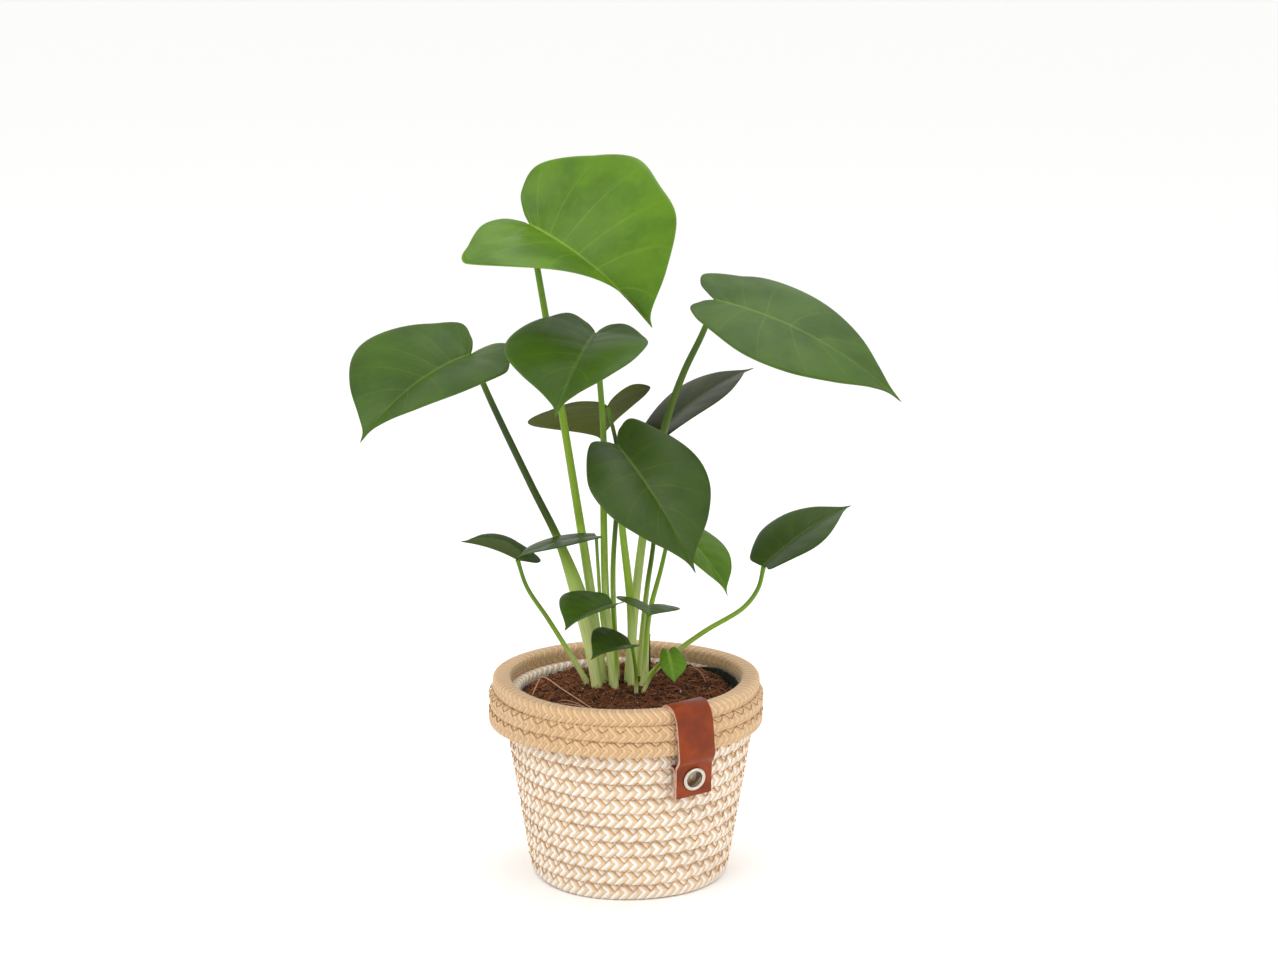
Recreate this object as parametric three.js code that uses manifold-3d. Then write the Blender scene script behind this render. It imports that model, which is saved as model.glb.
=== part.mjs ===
// A young split-leaf house plant in a 12 cm grower's pot, standing in a coiled rope basket.
// Millimetres, +Z up. The origin is the centre of the basket's flat underside.
import * as THREE from "three";
import { ParametricGeometry } from "three/addons/geometries/ParametricGeometry.js";
import { mergeVertices } from "three/addons/utils/BufferGeometryUtils.js";
import Module from "manifold-3d";

const wasm = await Module();
wasm.setup();

// ---- driving dimensions -------------------------------------------------------------------
const GAP = 0.3; // clearance between pieces that touch
const SEGMENTS = 36; // sides of every turned piece

const ROPE = 8.75; // height of one sewn row of rope
const WALL_ROWS = 12;
const WALL_FOOT = 0.4; // the first row just clears the table, so the base carries the load
const WALL_THICKNESS = 7.2;
const WALL_FOOT_RADIUS = 54.7; // outer radius at the table
const WALL_LEAN = 0.165; // how much the radius grows per millimetre of height
const WALL_TOP = WALL_FOOT + WALL_ROWS * ROPE;
const GROOVE = 1.2; // depth of the seam between two rows
const WALL_HEEL = 2.4; // how far the wall rounds in at its foot

const BASE_RADIUS = 45;
const BASE_THICKNESS = 7.6;
const INNER_FLOOR = BASE_THICKNESS + WALL_FOOT; // where the wall and the liner start inside

const CUFF_RADIUS = 76.8; // outer radius of the rolled rim
const CUFF_FOOT = 84.6;
const CUFF_ROWS = 3;
const CUFF_ROW = 8.15; // height of one row, pressed flatter than the wall's rows
const CUFF_HEM = 1.4; // rounding of the lower edge
const CUFF_LEG = 3.6; // from the wall to the lower edge
const CUFF_SHIFT = -2; // the hand-folded rim sits a little to one side
const LIP_RADIUS = 69.5; // circle of the top rope's centre
const LIP_HEIGHT = 109.8;
const LIP_ROPE = 4.8; // half thickness of the top rope

const LINER_THICKNESS = 0.5;
const LINER_FOOT_RADIUS = 46;
const LINER_TOP_RADIUS = 59.9;
const LINER_TOP = 97.6;

const POT_FOOT_RADIUS = 42.5;
const POT_TOP_RADIUS = 56.9;
const POT_RIM_RADIUS = 57.9;
const POT_TOP = 97.3;
const POT_RIM_HEIGHT = 6;
const POT_WALL = 1.1;
const POT_FLOOR = INNER_FLOOR + LINER_THICKNESS + GAP;
const POT_RIM_FOOT = POT_TOP - POT_RIM_HEIGHT;

const SOIL_TOP = 108.5; // height of the heaped soil at the stalks
const SOIL_RADIUS = 60.2;
const STALK_FOOT = SOIL_TOP + GAP;

const BARK = { height: 24, foot: 1.9, lean: 0.08, at: [10.5, 21] };

const STRAP_AZIMUTH = -61; // degrees from +X
const STRAP_WIDTH = 22;
const STRAP_THICKNESS = 1.6;
const STRAP_FOOT = 63.6;
const STRAP_STAND_OFF = 4; // from the wall's outer face to the middle of the inner layer
const SLOT = { height: 3, width: 24, z: 81.2 };
const EYELET = { z: 74, bore: 4.1, barrel: 4.7, hole: 5, flange: 7, washer: 5.5, plate: 0.9 };

const BLADE_THICKNESS = 0.9;
const BLADE_FADE = 0.1; // share of the margin over which the blade thins out at notch and tip
const BLADE_GRID = { large: { around: 12, rows: 18 }, small: { around: 8, rows: 12 } };
const LOBE_DROOP = 0.3; // how far the lobes follow the midrib's arch downwards
const THICK_STALK = 2.4; // stalks with a wider foot than this get more sides
const STALK_TAPER = 0.7;
const STALK_CLEARANCE = 1.2; // between a stalk's top and the underside of its blade
const SHEATH_END = 0.45; // share of the stalk that a sheath wraps

const wallRadius = (z) => WALL_FOOT_RADIUS + WALL_LEAN * z;

// ---- finishes -----------------------------------------------------------------------------
const finish = (color, roughness, metalness = 0) => ({ color, roughness, metalness });
const FINISH = {
  woven: finish(0xe9dcc8, 0.9),
  cuff: finish(0xdcb98a, 0.88),
  liner: finish(0x6b7468, 0.35),
  pot: finish(0x2a2c2b, 0.5),
  soil: finish(0x3c2419, 0.97),
  leather: finish(0x8a4327, 0.42),
  nickel: finish(0xb9b3a6, 0.28, 1),
  bark: finish(0x2c1c14, 0.9),
  leaf: finish(0x44702c, 0.42),
  youngLeaf: finish(0x5d9427, 0.4),
  darkLeaf: finish(0x35502a, 0.48),
  stalk: finish(0x7fa047, 0.5),
};

// ---- helpers ------------------------------------------------------------------------------
/** Welds a geometry, drops flattened triangles and turns it so that its faces point out. */
function solid(source) {
  const bare = source.index ? source.clone() : source;
  bare.deleteAttribute("normal");
  bare.deleteAttribute("uv");
  const geometry = mergeVertices(bare, 1e-3);
  const kept = [];
  const p = geometry.attributes.position;
  const corner = [new THREE.Vector3(), new THREE.Vector3(), new THREE.Vector3()];
  let volume = 0;
  for (let i = 0; i < geometry.index.count; i += 3) {
    const [a, b, c] = [0, 1, 2].map((k) => geometry.index.getX(i + k));
    if (a === b || b === c || c === a) continue;
    [a, b, c].forEach((v, k) => corner[k].fromBufferAttribute(p, v));
    volume += corner[0].dot(corner[1].cross(corner[2]));
    kept.push([a, b, c]);
  }
  geometry.setIndex(kept.flatMap(([a, b, c]) => (volume > 0 ? [a, b, c] : [a, c, b])));
  return geometry;
}

/** A solid of revolution about +Z from a profile of [radius, height] points. */
function turned(profile, closed = false, segments = SEGMENTS) {
  const points = profile.map(([r, z]) => new THREE.Vector2(r, z));
  if (closed) points.push(points[0].clone());
  return solid(new THREE.LatheGeometry(points, segments).rotateX(Math.PI / 2));
}

/** Cuts the tool out of the body; both are welded geometries. */
function cut(body, tool) {
  const [a, b] = [body, tool].map(
    (g) =>
      new wasm.Manifold(
        new wasm.Mesh({
          numProp: 3,
          vertProperties: new Float32Array(g.attributes.position.array),
          triVerts: new Uint32Array(g.index.array),
        }),
      ),
  );
  const mesh = a.subtract(b).getMesh();
  const geometry = new THREE.BufferGeometry();
  geometry.setAttribute("position", new THREE.BufferAttribute(mesh.vertProperties, 3));
  geometry.setIndex(new THREE.BufferAttribute(mesh.triVerts, 1));
  return geometry;
}

const plant = new THREE.Group();

function add(name, geometry, look, parent = plant) {
  geometry.computeVertexNormals();
  const mesh = new THREE.Mesh(geometry, new THREE.MeshStandardMaterial(look));
  mesh.name = name;
  parent.add(mesh);
  return mesh;
}

// ---- basket -------------------------------------------------------------------------------
function basketBase() {
  const rounding = 1.5;
  return turned([
    [0, 0],
    [BASE_RADIUS - rounding, 0],
    [BASE_RADIUS, rounding],
    [BASE_RADIUS, BASE_THICKNESS],
    [0, BASE_THICKNESS],
  ]);
}

/** The sewn rows, each bulging between two seams, with the slot that the strap passes through. */
function basketWall() {
  const outside = [[wallRadius(0) - WALL_HEEL, WALL_FOOT]];
  for (let row = 0; row < WALL_ROWS; row += 1) {
    const foot = WALL_FOOT + row * ROPE;
    outside.push([wallRadius(foot + ROPE / 2), foot + ROPE / 2]);
    outside.push([wallRadius(foot + ROPE) - GROOVE, foot + ROPE]);
  }
  const inside = [
    [wallRadius(WALL_TOP) - WALL_THICKNESS, WALL_TOP],
    [wallRadius(INNER_FLOOR) - WALL_THICKNESS, INNER_FLOOR],
    [BASE_RADIUS + GAP, INNER_FLOOR],
    [BASE_RADIUS + GAP, WALL_FOOT],
  ];
  const slot = new THREE.BoxGeometry(4 * WALL_THICKNESS, SLOT.width, SLOT.height)
    .translate(wallRadius(SLOT.z), 0, SLOT.z)
    .rotateZ(THREE.MathUtils.degToRad(STRAP_AZIMUTH));
  return cut(turned([...outside, ...inside], true), solid(slot));
}

/** The rim folded outward over the wall: three rows outside, the lip, and a short inner leg. */
function rimCuff() {
  const outside = [
    [wallRadius(CUFF_FOOT) + CUFF_LEG, CUFF_FOOT],
    [CUFF_RADIUS - CUFF_HEM, CUFF_FOOT + CUFF_HEM],
  ];
  for (let row = 0; row < CUFF_ROWS; row += 1) {
    const middle = CUFF_FOOT + CUFF_ROW * (row + 0.56);
    outside.push([CUFF_RADIUS - 0.2 * row, middle]);
    outside.push([CUFF_RADIUS - GROOVE - 0.5 * row, middle + ROPE / 2]);
  }
  const lip = [60, 90, 125, 165, 205].map((degrees) => {
    const turn = THREE.MathUtils.degToRad(degrees);
    return [LIP_RADIUS + LIP_ROPE * Math.cos(turn), LIP_HEIGHT + LIP_ROPE * Math.sin(turn)];
  });
  const seat = WALL_TOP + 0.5;
  const clearance = Math.abs(CUFF_SHIFT);
  const inside = [
    [LIP_RADIUS - 3, seat],
    [wallRadius(seat) + GAP + clearance, seat],
    [wallRadius(CUFF_FOOT + CUFF_HEM) + GAP + clearance, CUFF_FOOT + CUFF_HEM],
  ];
  return turned([...outside, ...lip, ...inside], true).translate(CUFF_SHIFT, 0, 0);
}

// ---- liner, pot and soil ------------------------------------------------------------------
function basketLiner() {
  return turned([
    [0, INNER_FLOOR],
    [LINER_FOOT_RADIUS, INNER_FLOOR],
    [LINER_TOP_RADIUS, LINER_TOP],
    [LINER_TOP_RADIUS - LINER_THICKNESS, LINER_TOP],
    [LINER_FOOT_RADIUS - LINER_THICKNESS, INNER_FLOOR + LINER_THICKNESS],
    [0, INNER_FLOOR + LINER_THICKNESS],
  ]);
}

function nurseryPot() {
  return turned([
    [0, POT_FLOOR],
    [POT_FOOT_RADIUS, POT_FLOOR],
    [POT_TOP_RADIUS, POT_RIM_FOOT],
    [POT_RIM_RADIUS, POT_RIM_FOOT + 0.6],
    [POT_RIM_RADIUS, POT_TOP],
    [POT_RIM_RADIUS - POT_WALL, POT_TOP],
    [POT_TOP_RADIUS - POT_WALL, POT_RIM_FOOT],
    [POT_FOOT_RADIUS - POT_WALL, POT_FLOOR + POT_WALL],
    [0, POT_FLOOR + POT_WALL],
  ]);
}

/** The root ball and compost, filling the pot and heaped over its rim. */
function soilBody() {
  const floor = POT_FLOOR + POT_WALL + GAP;
  const cover = LINER_TOP + GAP;
  return turned([
    [0, floor],
    [POT_FOOT_RADIUS - POT_WALL - GAP - 0.2, floor],
    [POT_TOP_RADIUS - POT_WALL - GAP, POT_RIM_FOOT],
    [POT_TOP_RADIUS - POT_WALL - GAP, cover],
    [SOIL_RADIUS, cover],
    [SOIL_RADIUS, cover + 2.2],
    [56, SOIL_TOP - 4],
    [45, SOIL_TOP - 1.9],
    [25, SOIL_TOP - 0.5],
    [0, SOIL_TOP],
  ]);
}

// ---- strap and eyelet ---------------------------------------------------------------------
/** Middle line of the strap as [radius, height]: out of the slot, up inside, over and down. */
function strapLine() {
  const inner = (z) => wallRadius(z) + STRAP_STAND_OFF;
  const outer = (z) => inner(z) + STRAP_THICKNESS + GAP;
  const top = LIP_HEIGHT + LIP_ROPE + STRAP_THICKNESS;
  const bend = SLOT.z - 2.6;
  return [
    [inner(STRAP_FOOT), STRAP_FOOT],
    [inner(EYELET.z), EYELET.z],
    [inner(bend), bend],
    [inner(bend) - 0.4, SLOT.z - 0.8],
    [inner(bend) - 2.2, SLOT.z],
    [60.6, SLOT.z],
    [58.8, SLOT.z + 1.6],
    [59.2, 87],
    [60.6, 92],
    [61.4, 100],
    [61.2, 107],
    [61.7, 112],
    [64.2, top - 1.1],
    [LIP_RADIUS, top],
    [74.4, top - 1.4],
    [77.8, 109],
    [CUFF_RADIUS + 1.6, 98],
    [CUFF_RADIUS + 1.6, 90],
    [78, 86.6],
    [75.4, 83.3],
    [outer(SLOT.z), SLOT.z],
    [outer(EYELET.z), EYELET.z],
    [outer(STRAP_FOOT), STRAP_FOOT],
  ];
}

/** A ring turned about the eyelet's axis, which stands square to the leaning strap. */
function eyeletRing(profile) {
  const centre = wallRadius(EYELET.z) + STRAP_STAND_OFF + (STRAP_THICKNESS + GAP) / 2;
  return turned(profile, true, 20)
    .rotateY(Math.PI / 2 + Math.atan(WALL_LEAN))
    .translate(centre, 0, EYELET.z);
}

function leatherStrap() {
  const line = new THREE.SplineCurve(strapLine().map(([r, z]) => new THREE.Vector2(r, z)));
  const steps = 56;
  const [near, far] = [[], []];
  for (let i = 0; i <= steps; i += 1) {
    const point = line.getPoint(i / steps);
    const along = line.getTangent(i / steps);
    const across = new THREE.Vector2(-along.y, along.x).multiplyScalar(STRAP_THICKNESS / 2);
    near.push(point.clone().add(across));
    far.unshift(point.clone().sub(across));
  }
  const band = new THREE.ExtrudeGeometry(new THREE.Shape([...near, ...far]), {
    depth: STRAP_WIDTH,
    bevelEnabled: false,
  });
  band.rotateX(Math.PI / 2).translate(0, STRAP_WIDTH / 2, 0);
  const drill = eyeletRing([
    [0, -4],
    [EYELET.hole, -4],
    [EYELET.hole, 4],
    [0, 4],
  ]);
  return cut(solid(band), drill);
}

const STRAP_STACK = STRAP_THICKNESS + GAP / 2; // from the gap's middle to a strap's outer face

function eyeletSpool() {
  const face = STRAP_STACK + GAP;
  const { bore, barrel, flange, plate } = EYELET;
  return eyeletRing([
    [bore, -face - plate],
    [barrel, -face - plate],
    [barrel, face],
    [flange - 0.3, face],
    [flange, face + plate / 2],
    [(flange + bore) / 2, face + plate],
    [bore, face + plate / 2],
  ]);
}

function eyeletWasher() {
  const face = STRAP_STACK + GAP;
  const { barrel, washer, plate } = EYELET;
  return eyeletRing([
    [barrel + GAP, -face - plate],
    [washer, -face - plate],
    [washer, -face],
    [barrel + GAP, -face],
  ]);
}

// ---- leaves -------------------------------------------------------------------------------
/**
 * One half of a heart-shaped outline as [along, across], from the notch round the lobe to the
 * tip. Along is in blade lengths from the stalk, across in half widths. `full` is how far the
 * half keeps its width before it draws in to the tip, from 0 to 1.
 */
function halfOutline(lobe, widest, full) {
  const ahead = 1 - widest;
  return new THREE.SplineCurve(
    [
      [0, 0],
      [-0.4 * lobe, 0.06],
      [-0.85 * lobe, 0.2],
      [-lobe, 0.48],
      [widest - 0.55 * (lobe + widest), 0.8],
      [widest, 1],
      [widest + 0.3 * ahead, 0.92],
      [widest + 0.58 * ahead, 0.63 + 0.17 * full],
      [widest + 0.8 * ahead, 0.28 + 0.14 * full],
      [widest + 0.92 * ahead, 0.09],
      [1, 0],
    ].map(([x, y]) => new THREE.Vector2(x, y)),
  );
}

/** Unit vectors and half planes of a blade, from its heading, its dip and its halves' tilts. */
function bladeFrame(leaf) {
  const [heading, dip] = [leaf.heading, leaf.dip].map(THREE.MathUtils.degToRad);
  const joint = new THREE.Vector3(...leaf.joint);
  const along = new THREE.Vector3(Math.cos(heading), Math.sin(heading), 0)
    .multiplyScalar(Math.cos(dip))
    .setZ(-Math.sin(dip));
  const beside = new THREE.Vector3(-Math.sin(heading), Math.cos(heading), 0);
  const lift = new THREE.Vector3().crossVectors(along, beside);
  const halves = [leaf.left, leaf.right].map(({ width, tilt, widest, full = 0 }, i) => {
    const side = i === 0 ? 1 : -1;
    const angle = THREE.MathUtils.degToRad(tilt);
    const across = beside.clone().multiplyScalar(side * Math.cos(angle));
    across.addScaledVector(lift, Math.sin(angle)).multiplyScalar(width);
    const normal = new THREE.Vector3().crossVectors(along, across).multiplyScalar(side / width);
    const furl = THREE.MathUtils.degToRad(leaf.furl[i]);
    return { widest, across, normal, furl, outline: halfOutline(leaf.lobe[i], widest, full) };
  });
  const up = halves[0].normal.clone().add(halves[1].normal).normalize();
  return { joint, along, length: leaf.length, up, halves };
}

/** Middle-surface point of a half blade: `s` runs round the margin, `t` from midrib to margin. */
function bladePoint(leaf, frame, half, s, t) {
  const edge = half.outline.getPoint(s);
  const x = THREE.MathUtils.lerp(s * s, edge.x, t);
  const y = edge.y * t;
  const rise = leaf.arch * frame.length * 4 * x * (1 - x) * (x < 0 ? LOBE_DROOP : 1);
  const twist = half.furl * Math.max(0, (x - half.widest) / (1 - half.widest));
  const side = half.across.clone().multiplyScalar(Math.cos(twist));
  side.addScaledVector(half.normal, half.across.length() * Math.sin(twist));
  const swell = leaf.cup * half.across.length() * 4 * y * (1 - y);
  return frame.joint
    .clone()
    .addScaledVector(frame.along, frame.length * x)
    .addScaledVector(frame.up, rise)
    .addScaledVector(side, y)
    .addScaledVector(half.normal, swell);
}

/** A thin blade, thickest at the midrib and sharp at the margin. */
function leafBlade(leaf) {
  const frame = bladeFrame(leaf);
  const [left, right] = frame.halves;
  const surface = (u, v, target) => {
    const quarter = Math.min(3, Math.floor(u * 4 + 1e-9));
    const part = u * 4 - quarter;
    const half = quarter === 0 || quarter === 3 ? right : left;
    const t = quarter % 2 === 0 ? 1 - part : part;
    const face = quarter < 2 ? 1 : -1;
    const fade = Math.min(1, v / BLADE_FADE, (1 - v) / BLADE_FADE);
    const offset = (face * fade * BLADE_THICKNESS * Math.sqrt(Math.max(0, 1 - t * t))) / 2;
    const normal = frame.up.clone().lerp(half.normal, t).normalize();
    target.copy(bladePoint(leaf, frame, half, v, t)).addScaledVector(normal, offset);
  };
  const { around, rows } = leaf.large ? BLADE_GRID.large : BLADE_GRID.small;
  return solid(new ParametricGeometry(surface, around, rows));
}

/** A round stalk from the soil, by way of its bends, to just under the blade's joint. */
function leafStalk(leaf) {
  const { foot, bends, radius, sheath = 0 } = leaf.stalk;
  const frame = bladeFrame(leaf);
  const clear = radius[1] + BLADE_THICKNESS / 2 + STALK_CLEARANCE;
  const top = frame.joint.clone().addScaledVector(frame.up, -clear);
  const inner = bends.map((bend) => new THREE.Vector3(...bend));
  const curve = new THREE.CatmullRomCurve3([new THREE.Vector3(...foot, STALK_FOOT), ...inner, top]);
  const sides = radius[0] > THICK_STALK ? 8 : 6;
  const steps = 4 + bends.length * 3;
  const surface = (u, v, target) => {
    const row = Math.round(v * (steps + 2)); // the first and last rows close the ends
    const s = THREE.MathUtils.clamp((row - 1) / steps, 0, 1);
    const along = curve.getTangent(s);
    const ahead = new THREE.Vector3(0, -1, 0).addScaledVector(along, along.y).normalize();
    const beside = new THREE.Vector3().crossVectors(along, ahead);
    const swell = sheath * Math.sin(Math.PI * Math.min(1, s / SHEATH_END)) ** 2;
    const full = THREE.MathUtils.lerp(radius[0], radius[1], s ** STALK_TAPER) + swell;
    const r = row === 0 || row === steps + 2 ? 0 : full;
    const turn = 2 * Math.PI * u;
    target.copy(curve.getPoint(s));
    target.addScaledVector(ahead, r * Math.cos(turn)).addScaledVector(beside, r * Math.sin(turn));
    target.z = Math.max(target.z, STALK_FOOT);
  };
  return solid(new ParametricGeometry(surface, sides, steps + 2));
}

/**
 * Every leaf, chosen by hand. `joint` is where the stalk meets the blade. `heading` is the way the
 * tip points, in degrees from +X seen from above, and `dip` is how far it points below level. Each
 * half, left being left when looking to the tip, has its width, its tilt above the blade's level
 * and the share of the length where it is widest; `full` is told at halfOutline. Then come each
 * lobe's length, the midrib's arch,
 * the swell of the halves and how far each half turns up towards the tip. A stalk has its foot on
 * the soil and the bends that it passes through.
 */
const LEAVES = {
  crown: {
    large: true, look: FINISH.youngLeaf,
    joint: [-54, 5, 368], heading: -25, dip: 35, length: 90,
    left: { width: 63, tilt: 56, widest: 0.22, full: 1 }, right: { width: 62, tilt: -15, widest: 0 },
    lobe: [0.22, 0.15], arch: 0.1, cup: 0.05, furl: [0, 42],
    stalk: { foot: [-15, 6], bends: [[-22, 5, 165], [-31, 5, 225], [-43, 8, 300]], radius: [3.4, 1.7] },
  },
  upper_left: {
    large: true, look: FINISH.leaf,
    joint: [-87, 0, 297], heading: 210, dip: 32, length: 80,
    left: { width: 41, tilt: -6, widest: 0.05 }, right: { width: 45, tilt: 28, widest: 0.42 },
    lobe: [0.2, 0.12], arch: 0.1, cup: 0.06, furl: [0, 0],
    stalk: {
      foot: [-18, -2], bends: [[-25, -4, 150], [-38, -3, 190], [-54, 0, 223], [-75, 2, 268]],
      radius: [3.4, 1.6], sheath: 2.2,
    },
  },
  centre: {
    large: true, look: FINISH.leaf,
    joint: [-18, -18, 312], heading: -110, dip: 30, length: 70,
    left: { width: 31, tilt: -6, widest: 0.05 }, right: { width: 40, tilt: 16, widest: 0.42 },
    lobe: [0.14, 0.1], arch: 0.1, cup: 0.08, furl: [0, 0],
    stalk: { foot: [-9, 2], bends: [[-13, 2, 160], [-14, -3, 210], [-14, -8, 255]], radius: [2.7, 1.6] },
  },
  upper_right: {
    large: true, look: FINISH.leaf,
    joint: [48, 0, 327], heading: -20, dip: 25, length: 117,
    left: { width: 39, tilt: 15, widest: 0.12 }, right: { width: 40, tilt: -21, widest: 0.3 },
    lobe: [0.14, 0.06], arch: 0.08, cup: 0.05, furl: [0, 0],
    stalk: {
      foot: [0, 7], bends: [[3, 7, 150], [9, 7, 200], [20, 7, 255], [30, 6, 285], [40, 3, 307]],
      radius: [3.2, 1.6],
    },
  },
  front_right: {
    large: true, look: FINISH.leaf,
    joint: [-6, -25, 251], heading: -50, dip: 42, length: 88,
    left: { width: 32, tilt: 30, widest: 0.33 }, right: { width: 32, tilt: -12, widest: 0.28 },
    lobe: [0.12, 0.06], arch: 0.08, cup: 0.07, furl: [0, 0],
    stalk: { foot: [2, -3], bends: [[1, -5, 155], [-4, -9, 205]], radius: [3.2, 1.6] },
  },
  back_left: {
    look: FINISH.darkLeaf,
    joint: [-12, 20, 264], heading: 95, dip: 35, length: 50,
    left: { width: 43, tilt: -6, widest: 0.3 }, right: { width: 28, tilt: 25, widest: 0.1 },
    lobe: [0.15, 0.3], arch: 0.06, cup: 0.05, furl: [0, 0],
    stalk: { foot: [-7, 12], bends: [[-9, 12, 170], [-6, 16, 235]], radius: [2, 1.1] },
  },
  back_right: {
    look: FINISH.darkLeaf,
    joint: [14, 28, 244], heading: 30, dip: -27, length: 74,
    left: { width: 22, tilt: 4, widest: 0.4 }, right: { width: 25, tilt: 8, widest: 0.4 },
    lobe: [0.06, 0.06], arch: 0.06, cup: 0.05, furl: [0, 0],
    stalk: { foot: [5, 14], bends: [[10, 12, 160], [14, 16, 190]], radius: [2, 1.1] },
  },
  low_right: {
    look: FINISH.youngLeaf,
    joint: [23, -5, 200], heading: -40, dip: 38, length: 52,
    left: { width: 18, tilt: 6, widest: 0.4 }, right: { width: 13, tilt: 4, widest: 0.35 },
    lobe: [0.15, 0.15], arch: 0.1, cup: 0.06, furl: [0, 0],
    stalk: { foot: [9, 7], bends: [[11, 6, 145], [18, 3, 175]], radius: [2, 1.1] },
  },
  far_right: {
    look: FINISH.leaf,
    joint: [75, 0, 177], heading: 20, dip: -30, length: 61,
    left: { width: 23, tilt: 18, widest: 0.25 }, right: { width: 25, tilt: 0, widest: 0.38 },
    lobe: [0.04, 0], arch: 0.05, cup: 0.05, furl: [0, 0],
    stalk: {
      foot: [7, 1], bends: [[21, 0, 123], [42, 0, 139], [64, 0, 153], [72, 0, 164]],
      radius: [1.8, 1.2],
    },
  },
  far_left: {
    look: FINISH.darkLeaf,
    joint: [-62, 0, 181], heading: 190, dip: -20, length: 34,
    left: { width: 20, tilt: 27, widest: 0.35 }, right: { width: 14, tilt: 30, widest: 0.1 },
    lobe: [0, 0.4], arch: 0.05, cup: 0.03, furl: [0, 0],
    stalk: { foot: [-24, 5], bends: [[-33, 0, 126], [-45, 0, 146], [-57, 0, 165]], radius: [1.8, 1.1] },
  },
  mid_left: {
    look: FINISH.darkLeaf,
    joint: [-18, -16, 198], heading: 200, dip: 10, length: 47,
    left: { width: 17, tilt: 6, widest: 0.4 }, right: { width: 17, tilt: -6, widest: 0.4 },
    lobe: [0.02, 0.02], arch: 0.05, cup: 0.03, furl: [0, 0],
    stalk: { foot: [-8, -6], bends: [[-15, -12, 150], [-17, -15, 180]], radius: [1.3, 0.9] },
  },
  front_left: {
    look: FINISH.leaf,
    joint: [-9, -28, 161], heading: 215, dip: 15, length: 33,
    left: { width: 20, tilt: 20, widest: 0.4 }, right: { width: 23, tilt: 17, widest: 0.4 },
    lobe: [0.1, 0.1], arch: 0.08, cup: 0.06, furl: [0, 0],
    stalk: { foot: [-7, -10], bends: [[-7, -16, 130]], radius: [1.3, 0.9] },
  },
  front_centre: {
    look: FINISH.leaf,
    joint: [11, -10, 157], heading: -90, dip: 0, length: 24,
    left: { width: 17, tilt: -3, widest: 0.3 }, right: { width: 19, tilt: 18, widest: 0.3 },
    lobe: [0.1, 0.1], arch: 0.05, cup: 0.04, furl: [0, 0],
    stalk: { foot: [7, -6], bends: [[10, -9, 140]], radius: [1.3, 0.9] },
  },
  front_low: {
    look: FINISH.darkLeaf,
    joint: [2, -32, 139], heading: 215, dip: 5, length: 28,
    left: { width: 18, tilt: 15, widest: 0.35 }, right: { width: 18, tilt: 28, widest: 0.35 },
    lobe: [0, 0.02], arch: 0.08, cup: 0.06, furl: [0, 0],
    stalk: { foot: [4, -16], bends: [[4, -22, 120]], radius: [1.3, 0.9] },
  },
  rim_right: {
    look: FINISH.youngLeaf,
    joint: [22, -20, 132], heading: -75, dip: 50, length: 18,
    left: { width: 9, tilt: 0, widest: 0.3 }, right: { width: 6, tilt: -10, widest: 0.3 },
    lobe: [0.2, 0.2], arch: 0.08, cup: 0.06, furl: [0, 0],
    stalk: { foot: [8, -14], bends: [[14, -17, 121]], radius: [1.3, 0.9] },
  },
};

/** A scrap of old stem standing in the compost. */
function barkStub() {
  const { height, foot, lean, at } = BARK;
  return solid(
    new THREE.CylinderGeometry(0.6 * foot, foot, height, 7)
      .rotateX(Math.PI / 2)
      .rotateY(lean)
      .translate(...at, STALK_FOOT + height / 2 + foot * Math.sin(Math.abs(lean))),
  );
}

// ---- assembly -----------------------------------------------------------------------------
add("basket_base", basketBase(), FINISH.woven);
add("basket_wall", basketWall(), FINISH.woven);
add("rim_cuff", rimCuff(), FINISH.cuff);
add("basket_liner", basketLiner(), FINISH.liner);
add("nursery_pot", nurseryPot(), FINISH.pot);
add("soil", soilBody(), FINISH.soil);
add("bark_stub", barkStub(), FINISH.bark);

const strapSide = new THREE.Group();
strapSide.rotation.z = THREE.MathUtils.degToRad(STRAP_AZIMUTH);
plant.add(strapSide);
add("leather_strap", leatherStrap(), FINISH.leather, strapSide);
add("eyelet", eyeletSpool(), FINISH.nickel, strapSide);
add("eyelet_washer", eyeletWasher(), FINISH.nickel, strapSide);

for (const [name, leaf] of Object.entries(LEAVES)) {
  add(`stalk_${name}`, leafStalk(leaf), FINISH.stalk);
  add(`blade_${name}`, leafBlade(leaf), leaf.look);
}

export default plant;
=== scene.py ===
"""A young split-leaf house plant in a coiled rope basket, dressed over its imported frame.

Sizes are in millimetres in the frame's own axes: +Z up, -Y the front, the origin at the centre
of the basket's flat underside. A mesh is turned into metres as it is made.
"""
import logging
import math
from dataclasses import dataclass, field
from enum import Enum
from functools import cache

import bmesh
import bpy
import numpy as np
from mathutils import Matrix, Vector


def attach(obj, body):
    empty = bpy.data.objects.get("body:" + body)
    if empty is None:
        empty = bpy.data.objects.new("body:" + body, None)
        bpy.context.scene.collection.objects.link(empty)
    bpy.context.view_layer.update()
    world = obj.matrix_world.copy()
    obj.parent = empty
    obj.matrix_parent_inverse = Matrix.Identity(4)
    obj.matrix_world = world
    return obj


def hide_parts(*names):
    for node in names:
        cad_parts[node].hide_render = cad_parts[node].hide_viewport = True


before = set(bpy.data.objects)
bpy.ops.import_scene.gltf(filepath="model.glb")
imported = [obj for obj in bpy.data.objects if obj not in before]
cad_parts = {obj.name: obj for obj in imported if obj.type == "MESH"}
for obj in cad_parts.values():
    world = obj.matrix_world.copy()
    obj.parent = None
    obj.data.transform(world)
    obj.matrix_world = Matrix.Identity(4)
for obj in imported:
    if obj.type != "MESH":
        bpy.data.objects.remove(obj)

Array = np.ndarray
Socket = bpy.types.NodeSocket
Point = tuple[float, float, float]
Colour = tuple[int, int, int]
Material = bpy.types.Material

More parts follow.
